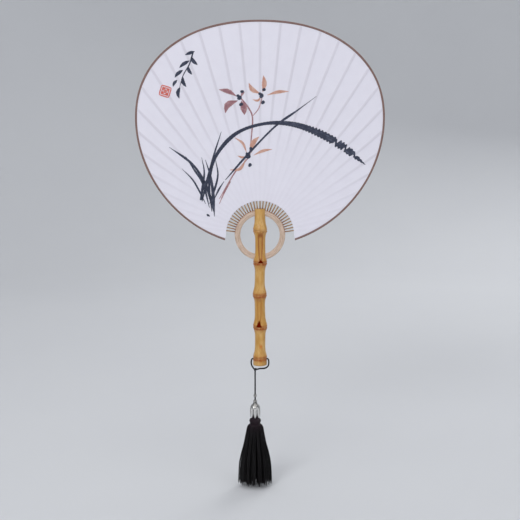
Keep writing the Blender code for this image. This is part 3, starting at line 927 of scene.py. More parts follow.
def handle_radius(z, angle):
    """The stem's radius, with its nodes, fine ridges, rootlets, buds and grooves."""
    swelling = np.clip(sum(swelling_at(z - node) for node in NODE_HEIGHTS), 0, 1)
    butt = bump_at(z, 5 * MM)
    taper = np.clip((z - (HANDLE_LENGTH - TOP_TAPER)) / TOP_TAPER, 0, 1)
    plain = INTERNODE_R + (TOP_R - INTERNODE_R) * taper
    radius = plain + (NODE_R - INTERNODE_R) * swelling + (BUTT_R - INTERNODE_R) * butt
    radius = np.minimum(radius, NODE_R - 0.15 * MM)
    height = from_node(z, angle)
    ring = 0.16 * bump_at(height - 0.9 * MM, 0.55 * MM) - 0.26 * bump_at(height, 0.45 * MM)
    ring = ring + 0.12 * bump_at(height + 1.2 * MM, 0.8 * MM)
    oval = 0.14 * np.sin(2 * angle + 40 * z) + 0.09 * np.sin(3 * angle - 90 * z)
    ribbed = 0.025 * np.sin(23 * angle + 2 * np.sin(60 * z))
    bud = 0.45 * bud_lift(z, angle) - 0.6 * bud_mask(z, angle)
    dots = 0.14 * root_dots(height, angle)
    return radius + MM * (ring + oval + ribbed + dots + bud) - GROOVE_DEPTH * groove_depth(z, angle)


def handle_rows():
    """Heights of the stem's rings of points, close together round the nodes."""
    coarse = np.arange(0.8, HANDLE_LENGTH / MM - 0.8, 1.1) * MM
    fine = [node + offset for node in NODE_HEIGHTS for offset in np.arange(-3.6, 4.2, 0.28) * MM]
    rows = np.sort(np.concatenate([coarse, fine]))
    rows = rows[np.concatenate([[True], np.diff(rows) > 0.15 * MM])]
    return rows[(rows > END_ROUNDING) & (rows < HANDLE_LENGTH - END_ROUNDING)]


def handle_mesh():
    """The stem as rings of points, rounded over at both ends and closed by flat discs."""
    angle = full_turn(128)
    rows = handle_rows()[:, None]
    over = np.array([1.0, 0.993, 0.97, 0.93, 0.60, 0.25])[:, None]
    drop = np.array([0.62, 0.30, 0.10, 0.0, 0.0, 0.0])[:, None] * MM
    low = over[::-1] * handle_radius(END_ROUNDING + 0 * angle, angle)
    high = over * handle_radius(HANDLE_LENGTH - END_ROUNDING + 0 * angle, angle)
    radii = np.concatenate([low, handle_radius(rows, angle), high])
    heights = np.concatenate([drop[::-1], rows, HANDLE_LENGTH - drop])
    lean = 0.25 * MM * np.sin(heights / (18 * MM))
    rings = points_at(radii * np.cos(angle) + lean, radii * np.sin(angle), heights)
    return Shape().skin(rings).closed_mesh("root")


def annulus_cutter(inner, outer, width):
    """A flat ring about the hoop's axis."""
    angle = full_turn(128)
    radius = np.array([inner, outer, outer, inner])[:, None]
    y = np.array([-1, -1, 1, 1])[:, None] * width / 2
    rings = points_at(radius * np.cos(angle), y, RING_Z + radius * np.sin(angle))
    return Shape().skin(rings, closed=True).closed_mesh("annulus")


def handle_cutters():
    """Mortises that fit the hoop, the slot above it, the cord's hole and the peg holes."""
    across, width = 4 * NODE_R, RING_THICKNESS + 2 * MORTISE_GAP
    low, high = RING_Z + (RING_INNER_R + RING_OUTER_R) / 2, HANDLE_LENGTH + NODE_R
    slot = ((across, width, high - low), Matrix.Translation((0, 0, (low + high) / 2)))
    hole = CORD_HOLE.z
    cutters = [
        annulus_cutter(RING_INNER_R - MORTISE_GAP, RING_OUTER_R + MORTISE_GAP, width),
        box_cutter([slot]),
        rod_cutter((-across, 0, hole), (across, 0, hole), CORD_HOLE_R),
    ]
    for node in ("ring_peg_upper", "ring_peg_lower"):
        z, end_y = middle(node).z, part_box(node)[0].y - 0.3 * MM
        cutters.append(rod_cutter((0, end_y, z), (0, across, z), half_size(node).z + 0.08 * MM))
    return cutters


def make_handle():
    """The cut stem, with the marks that its material colours stored on its points, painted shade in the
    grooves and along the butt's edge among them.
    """
    mesh = cut_mesh(handle_mesh(), handle_cutters())
    points = points_of(mesh)
    z = points[:, 2]
    angle = np.arctan2(points[:, 1], points[:, 0])
    height = from_node(z, angle)
    skin = smooth_step(np.hypot(points[:, 0], points[:, 1]), 3.8 * MM, 4.4 * MM)
    band = 0.65 * bump_at(height + 0.9 * MM, 3.2 * MM) + 0.8 * bump_at(height + 2.0 * MM, 0.9 * MM)
    band = band + 0.45 * bump_at(height - 1.6 * MM, 0.7 * MM)
    band = band * (1 - 0.7 * smooth_step(z, 130 * MM, 150 * MM))
    spot = 1.2 * bump_at(around(angle, FRONT) - 0.9 * MM, 1.5 * MM) * bump_at(z - 22 * MM, 1.9 * MM)
    hole = np.hypot(np.abs(points[:, 1]), z - CORD_HOLE.z)
    hole_edge = bump_at(hole - CORD_HOLE_R, 0.5 * MM) * smooth_step(np.abs(points[:, 0]), 5 * MM, 6 * MM)
    # Painted shade along the butt's bottom edge.
    butt_edge_shade = 0.6 * bump_at(z, 0.7 * MM)
    store(mesh, "band", np.clip(band, 0, 1) * skin)
    store(mesh, "spot", np.clip(spot, 0, 1) * skin)
    # line: the dark ring at each node and round the cord's hole, with painted shade along the butt's
    # bottom edge.
    store(mesh, "line", np.clip(0.45 * bump_at(height, 0.35 * MM) + 0.5 * hole_edge + butt_edge_shade, 0, 1) * skin)
    store(mesh, "scar", np.maximum(bud_mask(z, angle), 0.45 * root_dots(height, angle)) * skin)
    store(mesh, "warm", 0.6 * warm_side(z, angle))
    # Painted shade in the hollows above the buds.
    store(mesh, "groove_shade", np.clip(groove_shading(z, angle), 0, 1) * skin)
    new_piece("bamboo_root_handle", mesh, root_look(), "handle", sharp=42)


# ---- painting


def leaf_point(across, up):
    """Metres from shares of the leaf: across from -1 to 1, up from -1 at the drop to 1 at the top."""
    height = LEAF_RISE if up > 0 else LEAF_DROP
    return across * LEAF_HALF_WIDTH, LEAF_CENTRE_Z + up * height


def leaf_share(turn, length):
    """(across, up) in shares of the leaf of a length in mm, turned in degrees from level."""
    way = math.radians(turn)
    return math.cos(way) * length * MM / LEAF_HALF_WIDTH, math.sin(way) * length * MM / LEAF_DROP


def brush_edge(length, side, phases, rough, teeth):
    """How much of its half width a stroke keeps on one side. Lengths in mm, the last one at the tip."""
    ragged = 0.5 * np.sin(length * 1.9 + phases[0]) + 0.35 * np.sin(length * 4.3 + phases[1])
    to_tip = length[-1] - length
    frayed = 1 - smooth_step(to_tip, 66, 88)
    broken = (1 - smooth_step(to_tip, 46, 52)) * smooth_step(to_tip, 9, 12)
    from_break = (to_tip + 1.2 * side - 9.5) % BREAK_EVERY - BREAK_EVERY / 2
    notch = 0.95 * broken * bump_at(from_break, 1.1)
    notch = notch + 0.15 * frayed * (1 + np.sin(1.7 * length + phases[2]))
    return np.clip(1 + rough * ragged - teeth * notch, 0.05, 1.3)


class Painting:
    """Brush marks gathered into one thin piece that lies on the front paper."""

    def __init__(self, name, look, rng, layer="blades"):
        self.name, self.look, self.rng = name, look, rng
        self.shape, self.lift = Shape(), INK_LAYERS[layer]

    def patch(self, x, z, wash, keep=None):
        """A grid of points on the leaf; keep says which of its quads are painted."""
        faces = grid_faces(*x.shape)
        if keep is not None:
            faces = faces[keep.ravel()]
        self.shape.add(points_at(x, -(leaf_height(x, z) + self.lift), z), faces, wash=wash)

    def stroke(self, corners, widths, wash=0.1, rough=0.08, dry=0.0, teeth=0.0):
        """A brush mark through corners (shares of the leaf), widths in mm along it.

        dry opens streaks between the bristles. teeth frays both edges and breaks the stroke near its tip.
        """
        placed = [(x, 0.0, z) for x, z in (leaf_point(*corner) for corner in corners)]
        path = curve_through(placed, STROKE_STEP * MM)
        length = np.arange(len(path))[:, None] * STROKE_STEP
        share = np.linspace(0, 1, len(path))[:, None]
        half = np.interp(share, np.linspace(0, 1, len(widths)), widths) * MM / 2
        columns = int(np.clip(round(max(widths) / 0.4), 5, 21)) | 1
        across = np.linspace(-1, 1, columns)
        seeds = self.rng.uniform(0, TURN, 8)
        lower = half * brush_edge(length, -1, seeds[:3], rough, teeth)
        upper = half * brush_edge(length, 1, seeds[3:6], rough, teeth)
        offset = across * np.where(across < 0, lower, upper)
        ahead = unit(np.gradient(path[:, [0, 2]], axis=0))
        x = path[:, 0:1] - ahead[:, 1:2] * offset
        z = path[:, 2:3] + ahead[:, 0:1] * offset
        bristles = np.sin(11 * across + seeds[6]) * np.sin(0.16 * length + 2.2 * across + seeds[7])
        open_share = bristles * dry * smooth_step(share, 0.3, 0.7)
        thin = wash + 0.2 * np.abs(across) ** 3 * (wash > 0.2) + 0.5 * np.clip(open_share, 0, 1)
        keep = (open_share < 0.74)[:-1, :-1] if dry > 0 else None
        self.patch(x, z, np.clip(thin, 0, 1), keep)

    def dab(self, across, up, length, width, turn, wash=0.05):
        """A short pointed mark. length and width in mm, turn in degrees from level."""
        reach_x, reach_z = (part / 2 for part in leaf_share(turn, length))
        bow = 0.12 * length * MM / LEAF_HALF_WIDTH * math.sin(math.radians(turn))
        ends = [(across - reach_x, up - reach_z), (across + bow, up), (across + reach_x, up + reach_z)]
        self.stroke(ends, (0.25, width * 0.8, width, width * 0.7, 0.2), wash, rough=0.1)

    def dot(self, across, up, size, wash=0.02):
        """A round touch of ink."""
        centre_x, centre_z = leaf_point(across, up)
        angles = np.linspace(0, TURN, 25)
        a, b = self.rng.uniform(0, TURN, 2)
        edge = 1 + 0.12 * np.sin(2 * angles + a) + 0.05 * np.sin(3 * angles + b)
        edge[-1] = edge[0]
        shares = np.linspace(0.04, 1, 5)[:, None]
        x = centre_x + size * MM / 2 * shares * edge * np.cos(angles)
        z = centre_z + size * MM / 2 * shares * edge * np.sin(angles)
        self.patch(x, z, wash + 0.15 * shares * np.ones_like(x))

    def finish(self):
        """Turns all faces to the front and lays the piece on the leaf."""
        mesh = self.shape.mesh(self.name)
        to_back = [polygon.index for polygon in mesh.polygons if polygon.normal.y > 0]
        edit_faces(mesh, bmesh.ops.reverse_faces, to_back)
        thicken(new_piece(self.name, mesh, self.look, sharp=60), INK_THICKNESS)


def paint_grass(rng):
    """An orchid's leaves: one long arching blade, a straight one that crosses it, and a tuft."""
    ink = ink_look("ink_dark_look", (48, 53, 72), (122, 128, 148))
    blades = Painting("ink_blades", ink, rng)
    arch = [(-0.39, -0.72), (-0.41, -0.50), (-0.36, -0.29), (-0.20, -0.11), (0.02, -0.03)]
    arch += [(0.25, -0.03), (0.47, -0.10), (0.67, -0.21), (0.85, -0.35)]
    widths = (0.8, 2.2, 3.2, 3.4, 4.4, 3.4, 3.2, 4.4, 6.2, 9.2, 10.0, 9.0, 0.4)
    blades.stroke(arch, widths, 0.08, rough=0.09, dry=0.5, teeth=1.0)
    cross = [(-0.28, -0.47), (-0.10, -0.27), (0.12, -0.05), (0.30, 0.10), (0.45, 0.24)]
    blades.stroke(cross, (0.6, 2.2, 2.4, 1.9, 2.0, 2.7, 1.0, 0.3), 0.14, rough=0.10, dry=0.5)
    tuft = (
        ([(-0.37, -0.74), (-0.43, -0.53), (-0.54, -0.35), (-0.73, -0.21)], (0.4, 3.2, 3.0, 2.4, 2.6, 0.3)),
        ([(-0.41, -0.69), (-0.46, -0.50), (-0.53, -0.39), (-0.60, -0.28)], (0.4, 2.8, 2.2, 0.3)),
        ([(-0.47, -0.64), (-0.42, -0.45), (-0.37, -0.27), (-0.31, -0.09)], (0.8, 3.2, 2.2, 1.8, 0.4)),
        ([(-0.48, -0.63), (-0.46, -0.50), (-0.45, -0.40), (-0.47, -0.29)], (2.4, 2.8, 1.6, 0.3)),
        ([(-0.37, -0.76), (-0.38, -0.58), (-0.40, -0.44), (-0.44, -0.31)], (0.5, 3.6, 2.6, 0.4)),
        ([(-0.41, -0.66), (-0.36, -0.52), (-0.34, -0.42), (-0.36, -0.30)], (0.4, 2.4, 1.8, 0.3)),
        ([(-0.44, -0.66), (-0.50, -0.54), (-0.55, -0.46), (-0.63, -0.38)], (0.4, 2.0, 1.6, 0.3)),
        ([(-0.37, -0.62), (-0.33, -0.54), (-0.29, -0.48)], (0.5, 2.2, 0.4)),
    )
    for corners, sizes in tuft:
        blades.stroke(corners, sizes, 0.14, rough=0.08, dry=0.4)
    blades.dab(-0.42, -0.75, 4.5, 2.4, -35, 0.1)
    blades.finish()
    return ink


def paint_flower(name, look, rng, centre, petals):
    """Petals as (turn in degrees, length in mm, width in mm, bend) round a centre."""
    flower = Painting(name, look, rng, "petals")
    across, up = centre
    for turn, length, width, bend in petals:
        out, rise = leaf_share(turn, length)
        bends = ((0.18, 0.0), (0.6, bend), (1.0, 0.0))
        points = [(across + out * a - rise * b, up + rise * a + out * b) for a, b in bends]
        sizes = (0.4, width * 0.5, width * 0.95, width, width * 0.6, 0.3)
        flower.stroke(points, sizes, 0.28, rough=0.07)
    flower.finish()


def paint_flowers(rng, ink):
    """Three small flowers with thin stems and ink dots at their hearts."""
    mauve = ink_look("wash_mauve_look", (136, 88, 96), (208, 176, 178))
    tan = ink_look("wash_tan_look", (188, 136, 118), (224, 198, 186))
    left, right, low = (-0.155, 0.225), (0.02, 0.245), (-0.085, -0.285)
    petals = [(154, 26, 5.0, -0.08), (232, 27, 6.6, -0.18), (280, 24, 7.2, 0.04), (62, 9, 2.6, 0.1)]
    paint_flower("blossom_mauve", mauve, rng, left, petals)
    petals = [(88, 28, 5.2, -0.05), (130, 23, 5.0, 0.12), (12, 29, 3.6, 0.06), (206, 12, 2.4, 0.3)]
    paint_flower("blossom_tan", tan, rng, right, petals)
    petals = [(64, 24, 5.6, 0.12), (18, 26, 3.2, 0.05), (128, 26, 2.8, -0.12), (214, 26, 3.2, 0.2)]
    paint_flower("blossom_low", tan, rng, low, petals + [(176, 13, 2.4, 0.1)])
    stems = Painting("blossom_stems", mauve, rng, "stems")
    stems.stroke([left, (-0.09, 0.12), (-0.06, 0.02), (-0.07, -0.14), low], (1.6, 1.7, 1.5, 1.3, 1.7), 0.3)
    stems.stroke([right, (-0.01, 0.12), (-0.06, 0.04)], (1.0, 1.2, 1.0), 0.5)
    stems.stroke([low, (-0.17, -0.38), (-0.21, -0.42), (-0.33, -0.62)], (1.3, 1.6, 1.3, 0.8), 0.4)
    stems.stroke([(-0.24, -0.48), (-0.29, -0.57), (-0.33, -0.66)], (1.6, 1.9, 0.6), 0.4, dry=0.4)
    stems.finish()
    dots = Painting("ink_dots", ink, rng, "dots")
    touches = ((-0.008, 0.0, 4.8), (0.012, 0.062, 3.6), (0.004, -0.066, 4.0), (-0.02, 0.02, 3.4))
    for across, up in (left, right, low):
        for aside, rise, size in touches:
            dots.dot(across + aside, up + rise, size)
    dots.finish()


def paint_corner(rng, ink):
    """A drooping twig of small leaves, in the place where such fans carry an inscription."""
    motif = Painting("ink_leafy_twig", ink, rng)
    twig = [(-0.53, 0.68), (-0.56, 0.56), (-0.61, 0.45), (-0.64, 0.33)]
    motif.stroke(twig, (1.6, 1.4, 1.1, 0.9, 0.4), 0.12)
    leaves = (
        (-0.555, 0.670, 205, 10, 2.6),
        (-0.520, 0.595, 300, 12, 3.0),
        (-0.600, 0.560, 222, 13, 2.9),
        (-0.555, 0.500, 290, 11, 2.8),
        (-0.645, 0.465, 230, 12, 2.9),
        (-0.600, 0.385, 284, 13, 3.0),
        (-0.675, 0.370, 244, 9, 2.4),
        (-0.640, 0.275, 266, 14, 3.0),
    )
    for across, up, turn, length, width in leaves:
        motif.dab(across, up, 1.15 * length, 1.35 * width, turn, 0.08)
    motif.finish()


def paint_seal(rng):
    """A red square with a plain four-petalled mark left pale in it."""
    red = ink_look("seal_red_look", (208, 96, 82), (228, 162, 152))
    seal = Painting("seal_square", red, rng)
    size = 12.0 * MM
    steps = np.linspace(-1, 1, 49)
    u, v = np.meshgrid(steps, steps, indexing="ij")
    turn = math.radians(-18)
    centre_x, centre_z = leaf_point(-0.755, 0.29)
    x = centre_x + size / 2 * (u * math.cos(turn) - v * math.sin(turn))
    z = centre_z + size / 2 * (u * math.sin(turn) + v * math.cos(turn))
    mid_u, mid_v = (u[:-1, :-1] + u[1:, 1:]) / 2, (v[:-1, :-1] + v[1:, 1:]) / 2
    distance, angle = np.hypot(mid_u, mid_v), np.arctan2(mid_v, mid_u)
    petals = np.abs(distance - 0.42 * np.abs(np.cos(2 * angle)) ** 0.5) < 0.075
    frame_line = np.abs(np.maximum(np.abs(mid_u), np.abs(mid_v)) - 0.72) < 0.06
    corners = np.abs(mid_u) ** 6 + np.abs(mid_v) ** 6 > 0.92
    worn = rng.uniform(0, 1, mid_u.shape) < 0.03
    seal.patch(x, z, 0.15 + 0.2 * rng.uniform(0, 1, x.shape), ~(petals | frame_line | corners | worn))
    seal.finish()


# ---- cord


def twisted(shape, path, turns, closed=False):
    """Three strands laid round the path. turns gives the twist at each path point."""
    normals, binormals = frames_along(path, (0, 1, 0))
    strand_r = CORD_R / 2
    for strand in range(3):
        phase = TURN * (turns + strand / 3)
        offset = np.cos(phase)[:, None] * normals + np.sin(phase)[:, None] * binormals
        shape.skin(tube(path + offset * strand_r, strand_r, 8, closed=closed), closed, tint=0.0)


def make_loop(look):
    """The loop through the butt, and the knot below it."""
    sides = ((2.0, 7.0), (5.6, 7.0), (8.4, 6.9), (9.6, 5.2), (9.8, 1.2), (8.6, -2.2))
    right = [(x * MM, 0.0, z * MM) for x, z in sides]
    under = [(5.2 * MM, 0.0, -4.2 * MM), (0.0, 0.0, -4.6 * MM), tuple(KNOT)]
    left = [(-x * MM, 0.0, z * MM) for x, z in reversed(sides)]
    path = curve_through(right + under + left, 0.28 * MM, closed=True)
    count = len(path)
    shape = Shape()
    twisted(shape, path, np.arange(count) * 11 / count, closed=True)
    t = full_turn(160)
    knot = np.stack([np.sin(t) + 2 * np.sin(2 * t), -np.sin(3 * t), np.cos(t) - 2 * np.cos(2 * t)], -1)
    knot = tube(knot * 0.52 * MM + np.array(KNOT), CORD_R * 0.62, 10, closed=True)
    shape.skin(knot, closed=True, tint=0.0)
    new_piece("knotted_loop", shape.mesh("knotted_loop"), look, "cord_loop", "loop")


def cord_length(name, look, node, top, bottom):
    """A straight length of the twisted cord."""
    steps = round((top - bottom) / (0.3 * MM))
    z = np.linspace(top, bottom, steps + 1)
    shape = Shape()
    twisted(shape, points_at(CORD_X, 0.0, z), -z / CORD_TWIST)
    return new_piece(name, shape.mesh(name), look, node, body=None)


def make_hanging_cord(look):
    """Two lengths that meet halfway between the knot and the tassel's tilt, at a point where the cord
    doesn't bend.
    """
    split = (KNOT.z + TILT.z) / 2
    upper = cord_length("cord_upper", look, "upper_cord", KNOT.z, split)
    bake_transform(upper)
    lower = cord_length("cord_lower", look, "lower_cord", split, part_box("lower_cord")[0].z + 3 * MM)
    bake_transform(lower)


# ---- silver bead and cap


def add_round(shape, radius, z, **values):
    """Adds a closed skin round the cord's line: a row for each ring, a column for each direction."""
    angle = full_turn(radius.shape[1])
    rings = points_at(CORD_X + radius * np.cos(angle), radius * np.sin(angle), z)
    shape.skin(rings, closed=True, **values)


def turned(shape, profile, columns=TURNED_COLUMNS, inward=0.0, **values):
    """A closed shape turned about the cord's line from (radius, z) rows, outside then inside."""
    profile = np.asarray(profile, float)
    add_round(shape, profile[:, 0:1] - inward * np.ones(columns), profile[:, 1:2], **values)


def make_bead(look):
    """A small melon bead that stops the cap from sliding up."""
    centre, half = middle("stopper_bead").z, half_size("stopper_bead")
    bore = CORD_R + 0.12 * MM
    swing = np.linspace(math.pi / 2, -math.pi / 2, 17)
    radius = bore + (half.x - bore) * np.clip(np.cos(swing), 0, 1) ** 0.7
    profile = np.stack([radius, centre + half.z * np.sin(swing)], -1)
    columns = 8 * BEAD_FLUTES
    grooves = (1 - np.abs(np.cos(BEAD_FLUTES / 2 * full_turn(columns)))) ** 2 * np.ones((len(swing), 1))
    shape = Shape()
    # Painted shade over the whole bead, strongest in the flutes.
    turned(shape, profile, columns, inward=0.22 * MM * grooves, recess=0.35 + 0.65 * grooves**0.6)
    new_piece("melon_bead", shape.closed_mesh("melon_bead"), look, "stopper_bead", "bead")


def bell_radius(z):
    """Radius of the cap's bell at a height: narrow at the collar and drawn in at the petals' tips."""
    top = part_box("silver_cap")[1].z
    drops = np.array([2.4, 3.6, 4.6, 5.8, 7.6, 10.6, 14.0, 17.0, 19.8]) * MM
    radii = np.array([1.7, 2.1, 3.0, 4.2, 5.1, 5.45, 5.4, 5.15, 4.9]) * MM
    return np.interp(top - z, drops, radii)


def petal_layer(shape, top, tip, notch, phase, spread, out, shade=0.0):
    """A ring of overlapping petals, each a bowed shell with a raised vein and a pointed tip.

    top, tip and notch are heights. spread bows the petals and out turns their tips up.
    """
    angle = full_turn(PETALS * 18)
    within = ((angle / TURN * PETALS + phase) % 1.0) * 2 - 1
    rounded = np.sqrt(np.clip(1 - np.abs(within) ** 2.2, 0, 1))
    pointed = 1 - np.abs(within) ** 0.8
    edge = notch + (tip - notch) * (0.7 * rounded + 0.3 * pointed)
    share = np.linspace(0, 1, 15)[:, None]
    z = top + (edge - top) * share
    bow = spread * (1 - np.abs(within) ** 2.5) * np.sin(share * math.pi * 0.75) ** 1.2
    vein = 0.12 * MM * bump_at(within, 0.09) * (1 - share)
    flare = out * smooth_step(share, 0.72, 1.0)
    seam = 0.22 * MM * bump_at(np.abs(within) - 1, 0.10)
    outer = bell_radius(z) + bow + vein + flare - seam
    radius = np.concatenate([outer, outer[::-1] - PETAL_THICKNESS])
    heights = np.concatenate([z, z[::-1]])
    # Painted shade at the seams between petals, beside the vein, under the row above and on the inner
    # faces.
    recess = bump_at(np.abs(within) - 1, 0.24) + 0.3 * bump_at(np.abs(within) - 0.2, 0.06)
    recess = shade + recess + 0.7 * (1 - smooth_step(share, 0.0, 0.22))
    recess = np.clip(np.concatenate([recess, np.full_like(recess, 0.8)]), 0, 1)
    add_round(shape, radius, heights, recess=recess)


def make_cap(look):
    """A lotus cap: three rows of petals hanging from a beaded collar."""
    low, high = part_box("silver_cap")
    shape = Shape()
    tip = low.z
    petal_layer(shape, high.z - 6.0 * MM, tip + 4.6 * MM, tip + 9.6 * MM, 0.0, 0.0, -0.1 * MM, 0.8)
    petal_layer(shape, high.z - 4.6 * MM, tip, tip + 9.4 * MM, 0.5, 0.45 * MM, 0.35 * MM)
    tip = high.z - 9.6 * MM
    petal_layer(shape, high.z - 3.0 * MM, tip, tip + 3.2 * MM, 0.0, 0.4 * MM, 0.2 * MM, 0.3)
    bore = CORD_R + 0.25 * MM
    # (radius in mm, drop from the top in mm, painted shade) down the collar and back in to its bore
    rows = ((bore / MM, 0.0, 0.8), (1.7, 0.0, 0.6), (2.1, 0.3, 0.5), (2.3, 0.8, 0.5))
    rows += ((2.15, 1.3, 0.6), (1.75, 1.6, 0.9), (1.65, 1.9, 1.0), (1.8, 2.1, 0.8))
    rows += ((2.0, 2.5, 0.7), (2.2, 3.2, 0.7), (2.2, 3.8, 0.8), (bore / MM, 3.9, 0.9))
    profile = [(radius * MM, high.z - drop * MM) for radius, drop, _ in rows]
    turned(shape, profile, recess=np.repeat([dark for _, _, dark in rows], TURNED_COLUMNS))
    new_piece("lotus_cap", shape.closed_mesh("lotus_cap"), look, "silver_cap", "cap", 50)


# ---- tassel


def make_head(look):
    """The thread head: a dark core wrapped in upright threads."""
    low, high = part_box("tassel_head")
    fall = np.concatenate([np.linspace(0.4, 13.0, 12), np.linspace(13.4, 20.9, 22)])
    heights = high.z - fall * MM
    drops = (0, 2.4, 5.5, 13.0, 13.7, 14.6, 16.4, 18.0, 18.9, 19.4, 21.0)
    radii = np.interp(fall, drops, (1.9, 3.1, 3.9, 4.0, 4.9, 5.9, 6.4, 6.0, 5.3, 4.9, 4.8)) * MM
    shape = Shape()
    core = [(radius - 0.1 * MM, z) for radius, z in zip(radii, heights)]
    bore = CORD_R + 0.3 * MM
    core += [(2.2 * MM, low.z), (2.2 * MM, low.z + 6 * MM), (bore, low.z + 6 * MM), (bore, heights[0])]
    # Purple, partly the silk's own colour and partly painted sheen.
    turned(shape, core, 40, tint=0.5)
    for angle in full_turn(HEAD_THREADS):
        path = points_at(CORD_X + radii * math.cos(angle), radii * math.sin(angle), heights)
        shape.skin(tube(path, 0.24 * MM, 6, ACROSS_THREAD), tint=0.9)
    new_piece("thread_head", shape.closed_mesh("thread_head"), look, "tassel_head", "tassel")


def make_neck(look):
    """Thread wound round the neck in close turns."""
    low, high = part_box("neck_binding")
    t = np.linspace(0, 1, NECK_TURNS * 48)
    radius = 5.6 * MM + 0.35 * MM * np.sin(t * math.pi)
    z = high.z - 0.2 * MM - (high.z - low.z - 0.4 * MM) * t
    angle = t * NECK_TURNS * TURN
    path = points_at(CORD_X + radius * np.cos(angle), radius * np.sin(angle), z)
    shape = Shape().skin(tube(path, 0.30 * MM, 8, (0, 0, 1)), tint=1.0)
    band = [(5.5, 0.1), (5.8, 0.4), (5.95, 0.8), (5.8, 1.2), (5.5, 1.5), (5.35, 1.4), (5.35, 0.2)]
    turned(shape, [(r * MM, high.z - d * MM) for r, d in band], 40, tint=0.8)
    new_piece("wound_neck", shape.closed_mesh("wound_neck"), look, "neck_binding", "tassel")


def skirt_radius(fall):
    """Radius of the threads' outer shape at a distance below the skirt's top."""
    drops = np.array([0.0, 0.6, 1.6, 4.0, 10.0, 22.0, 33.5, 45.5, 69.0]) * MM
    radii = np.array([6.0, 7.2, 8.4, 9.5, 10.5, 12.8, 15.9, 18.2, 19.2]) * MM
    return np.interp(fall, drops, radii)


def skirt_thread(rng, lock_out, lock_turn):
    """(path, radius) of one loose thread, which gathers to the middle of its lock as it falls."""
    angle = rng.uniform(0, TURN)
    lock = int(angle / TURN * SKIRT_LOCKS) % SKIRT_LOCKS
    depth = rng.uniform(0, 1) ** 0.6
    length = 2 * SKIRT_HALF.z
    way_down = 0.12 * THREAD_STEPS + 0.88 * THREAD_STEPS**3.2 + 0.55 * THREAD_STEPS**2 * (1 - THREAD_STEPS)
    fall = length * rng.uniform(0.95, 1.0) * way_down
    spread = skirt_radius(fall) * (0.14 + 0.86 * depth) * (1 + lock_out[lock] * THREAD_STEPS) - 0.2 * MM
    gather = (lock + 0.5) / SKIRT_LOCKS * TURN - angle
    way = angle + 0.35 * gather * THREAD_STEPS**1.5 + lock_turn[lock] * THREAD_STEPS
    a, b = rng.uniform(0, TURN, 2)
    curl = rng.uniform(0.1, 0.45) * MM * THREAD_STEPS
    flat = 1 - (1 - SKIRT_HALF.y / SKIRT_HALF.x) * smooth_step(THREAD_STEPS, 0.02, 0.3)
    x = CORD_X + spread * np.cos(way) + curl * np.sin(7 * THREAD_STEPS + a)
    y = spread * np.sin(way) * flat + curl * np.cos(6 * THREAD_STEPS + b)
    z = SKIRT_TOP + 1.2 * MM - fall * (length + 1.2 * MM) / length
    return points_at(x, y, z), rng.uniform(0.15, 0.21) * MM


def make_skirt(look, rng):
    """Several hundred loose threads, gathered into locks that part a little as they fall."""
    lock_out = rng.uniform(-0.05, 0.03, SKIRT_LOCKS)
    lock_turn = rng.uniform(-0.07, 0.07, SKIRT_LOCKS)
    # Painted purple sheen on the upper part of each thread, fading as it falls.
    tint = np.repeat(0.75 * (1 - smooth_step(THREAD_STEPS, 0.1, 0.45)), THREAD_SIDES)
    shape = Shape()
    for _ in range(SKIRT_THREADS):
        path, radius = skirt_thread(rng, lock_out, lock_turn)
        shape.skin(tube(path, radius, THREAD_SIDES, ACROSS_THREAD), tint=tint)
    new_piece("silk_threads", shape.mesh("silk_threads"), look, "tassel_skirt", "tassel", 60)


# ---- studio


def make_floor():
    """A pale round floor that curves up all round into a plain wall."""
    floor_z = CAD_BOX[0][2] - 3 * MM
    flat, bend, top = 1.5, 1.3, 3.2
    turn = np.linspace(0, math.pi / 2, 20)
    radius = np.concatenate([[0.01, 0.4, 0.9], flat + bend * np.sin(turn), [flat + bend]])
    height = np.concatenate([[0, 0, 0], bend * (1 - np.cos(turn)), [top]]) + floor_z
    angle = full_turn(96)
    points = points_at(radius[:, None] * np.cos(angle), radius[:, None] * np.sin(angle), height[:, None])
    middle_face = [list(range(len(angle)))[::-1]]
    mesh = Shape().add(points, grid_faces(*points.shape[:2], wrap=True), middle_face).mesh("floor")
    mesh.shade_smooth()
    look = Look("floor_look", 0.85)
    look.colour(look.mix(look.noise(look.place(), 0.4), (204, 206, 210), (210, 212, 215)))
    mesh.materials.append(look.material)
    add_object("floor", mesh)


def aim(obj, target):
    obj.rotation_euler = (Vector(target) - obj.location).to_track_quat("-Z", "Y").to_euler()


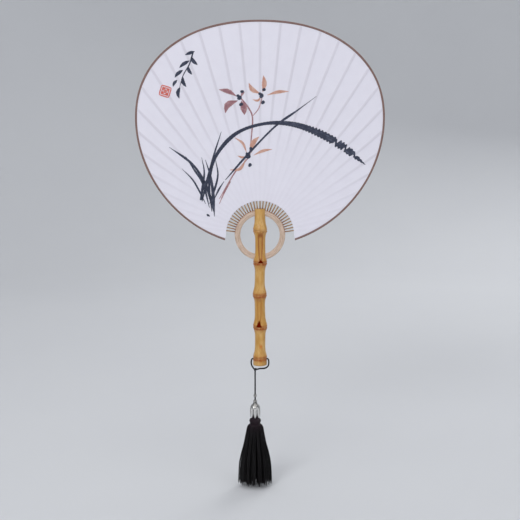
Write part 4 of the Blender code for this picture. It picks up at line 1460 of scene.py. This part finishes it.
def add_light(name, place, target, size, watts, colour=(1.0, 1.0, 1.0)):
    data = bpy.data.lights.new(name, "AREA")
    data.shape = "DISK"
    data.size = size
    data.energy = watts
    data.color = colour
    light = add_object(name, data)
    light.location = place
    aim(light, target)


def make_lights():
    heart = (0, 0, LEAF_CENTRE_Z - 60 * MM)
    add_light("key", (-0.9, -1.7, 1.3), heart, 1.1, 19)
    add_light("fill", (1.4, -1.5, 0.4), heart, 1.5, 7, (0.97, 0.98, 1.0))
    add_light("back", (0.9, 1.6, 1.2), heart, 1.2, 11)
    add_light("top", (0, 0, 2.9), (0, 0, 0), 3.4, 36)
    world = bpy.data.worlds.new("studio")
    world.use_nodes = True
    world.node_tree.nodes["Background"].inputs["Color"].default_value = (0.66, 0.67, 0.71, 1)
    world.node_tree.nodes["Background"].inputs["Strength"].default_value = 0.34
    bpy.context.scene.world = world
    bpy.context.scene.view_settings.view_transform = "Standard"


def make_camera():
    """In front of the painted side, a little above the leaf's middle, aimed at the object's middle."""
    data = bpy.data.cameras.new("camera")
    data.lens = 65.0
    data.clip_start = 0.05
    camera = add_object("camera", data)
    camera.location = (-3 * MM, -1026 * MM, 277 * MM)
    aim(camera, (CAD_BOX[0] + CAD_BOX[1]) / 2)
    bpy.context.scene.camera = camera


# ---- build

rng = np.random.default_rng(11)
make_papers()
make_binding()
make_hoop(strip_look("hoop_look", (216, 192, 174), (186, 161, 141), (136, 84, 46)))
rib_strip = strip_look("rib_look", (174, 142, 106), (140, 106, 74), (118, 64, 28))
make_ribs(rib_strip, rng)
make_pegs(rib_strip)
make_handle()
dark_ink = paint_grass(rng)
paint_flowers(rng, dark_ink)
paint_corner(rng, dark_ink)
paint_seal(rng)
cord_look = thread_look("cord_look", (14, 13, 17), (40, 38, 46), 0.6)
make_loop(cord_look)
make_hanging_cord(cord_look)
bright = silver_look()
make_bead(bright)
make_cap(bright)
silk = thread_look("silk_look", (6, 4, 6), (17, 13, 17), 0.55)
make_head(silk)
make_neck(silk)
make_skirt(silk, np.random.default_rng(5))
make_floor()
make_lights()
make_camera()
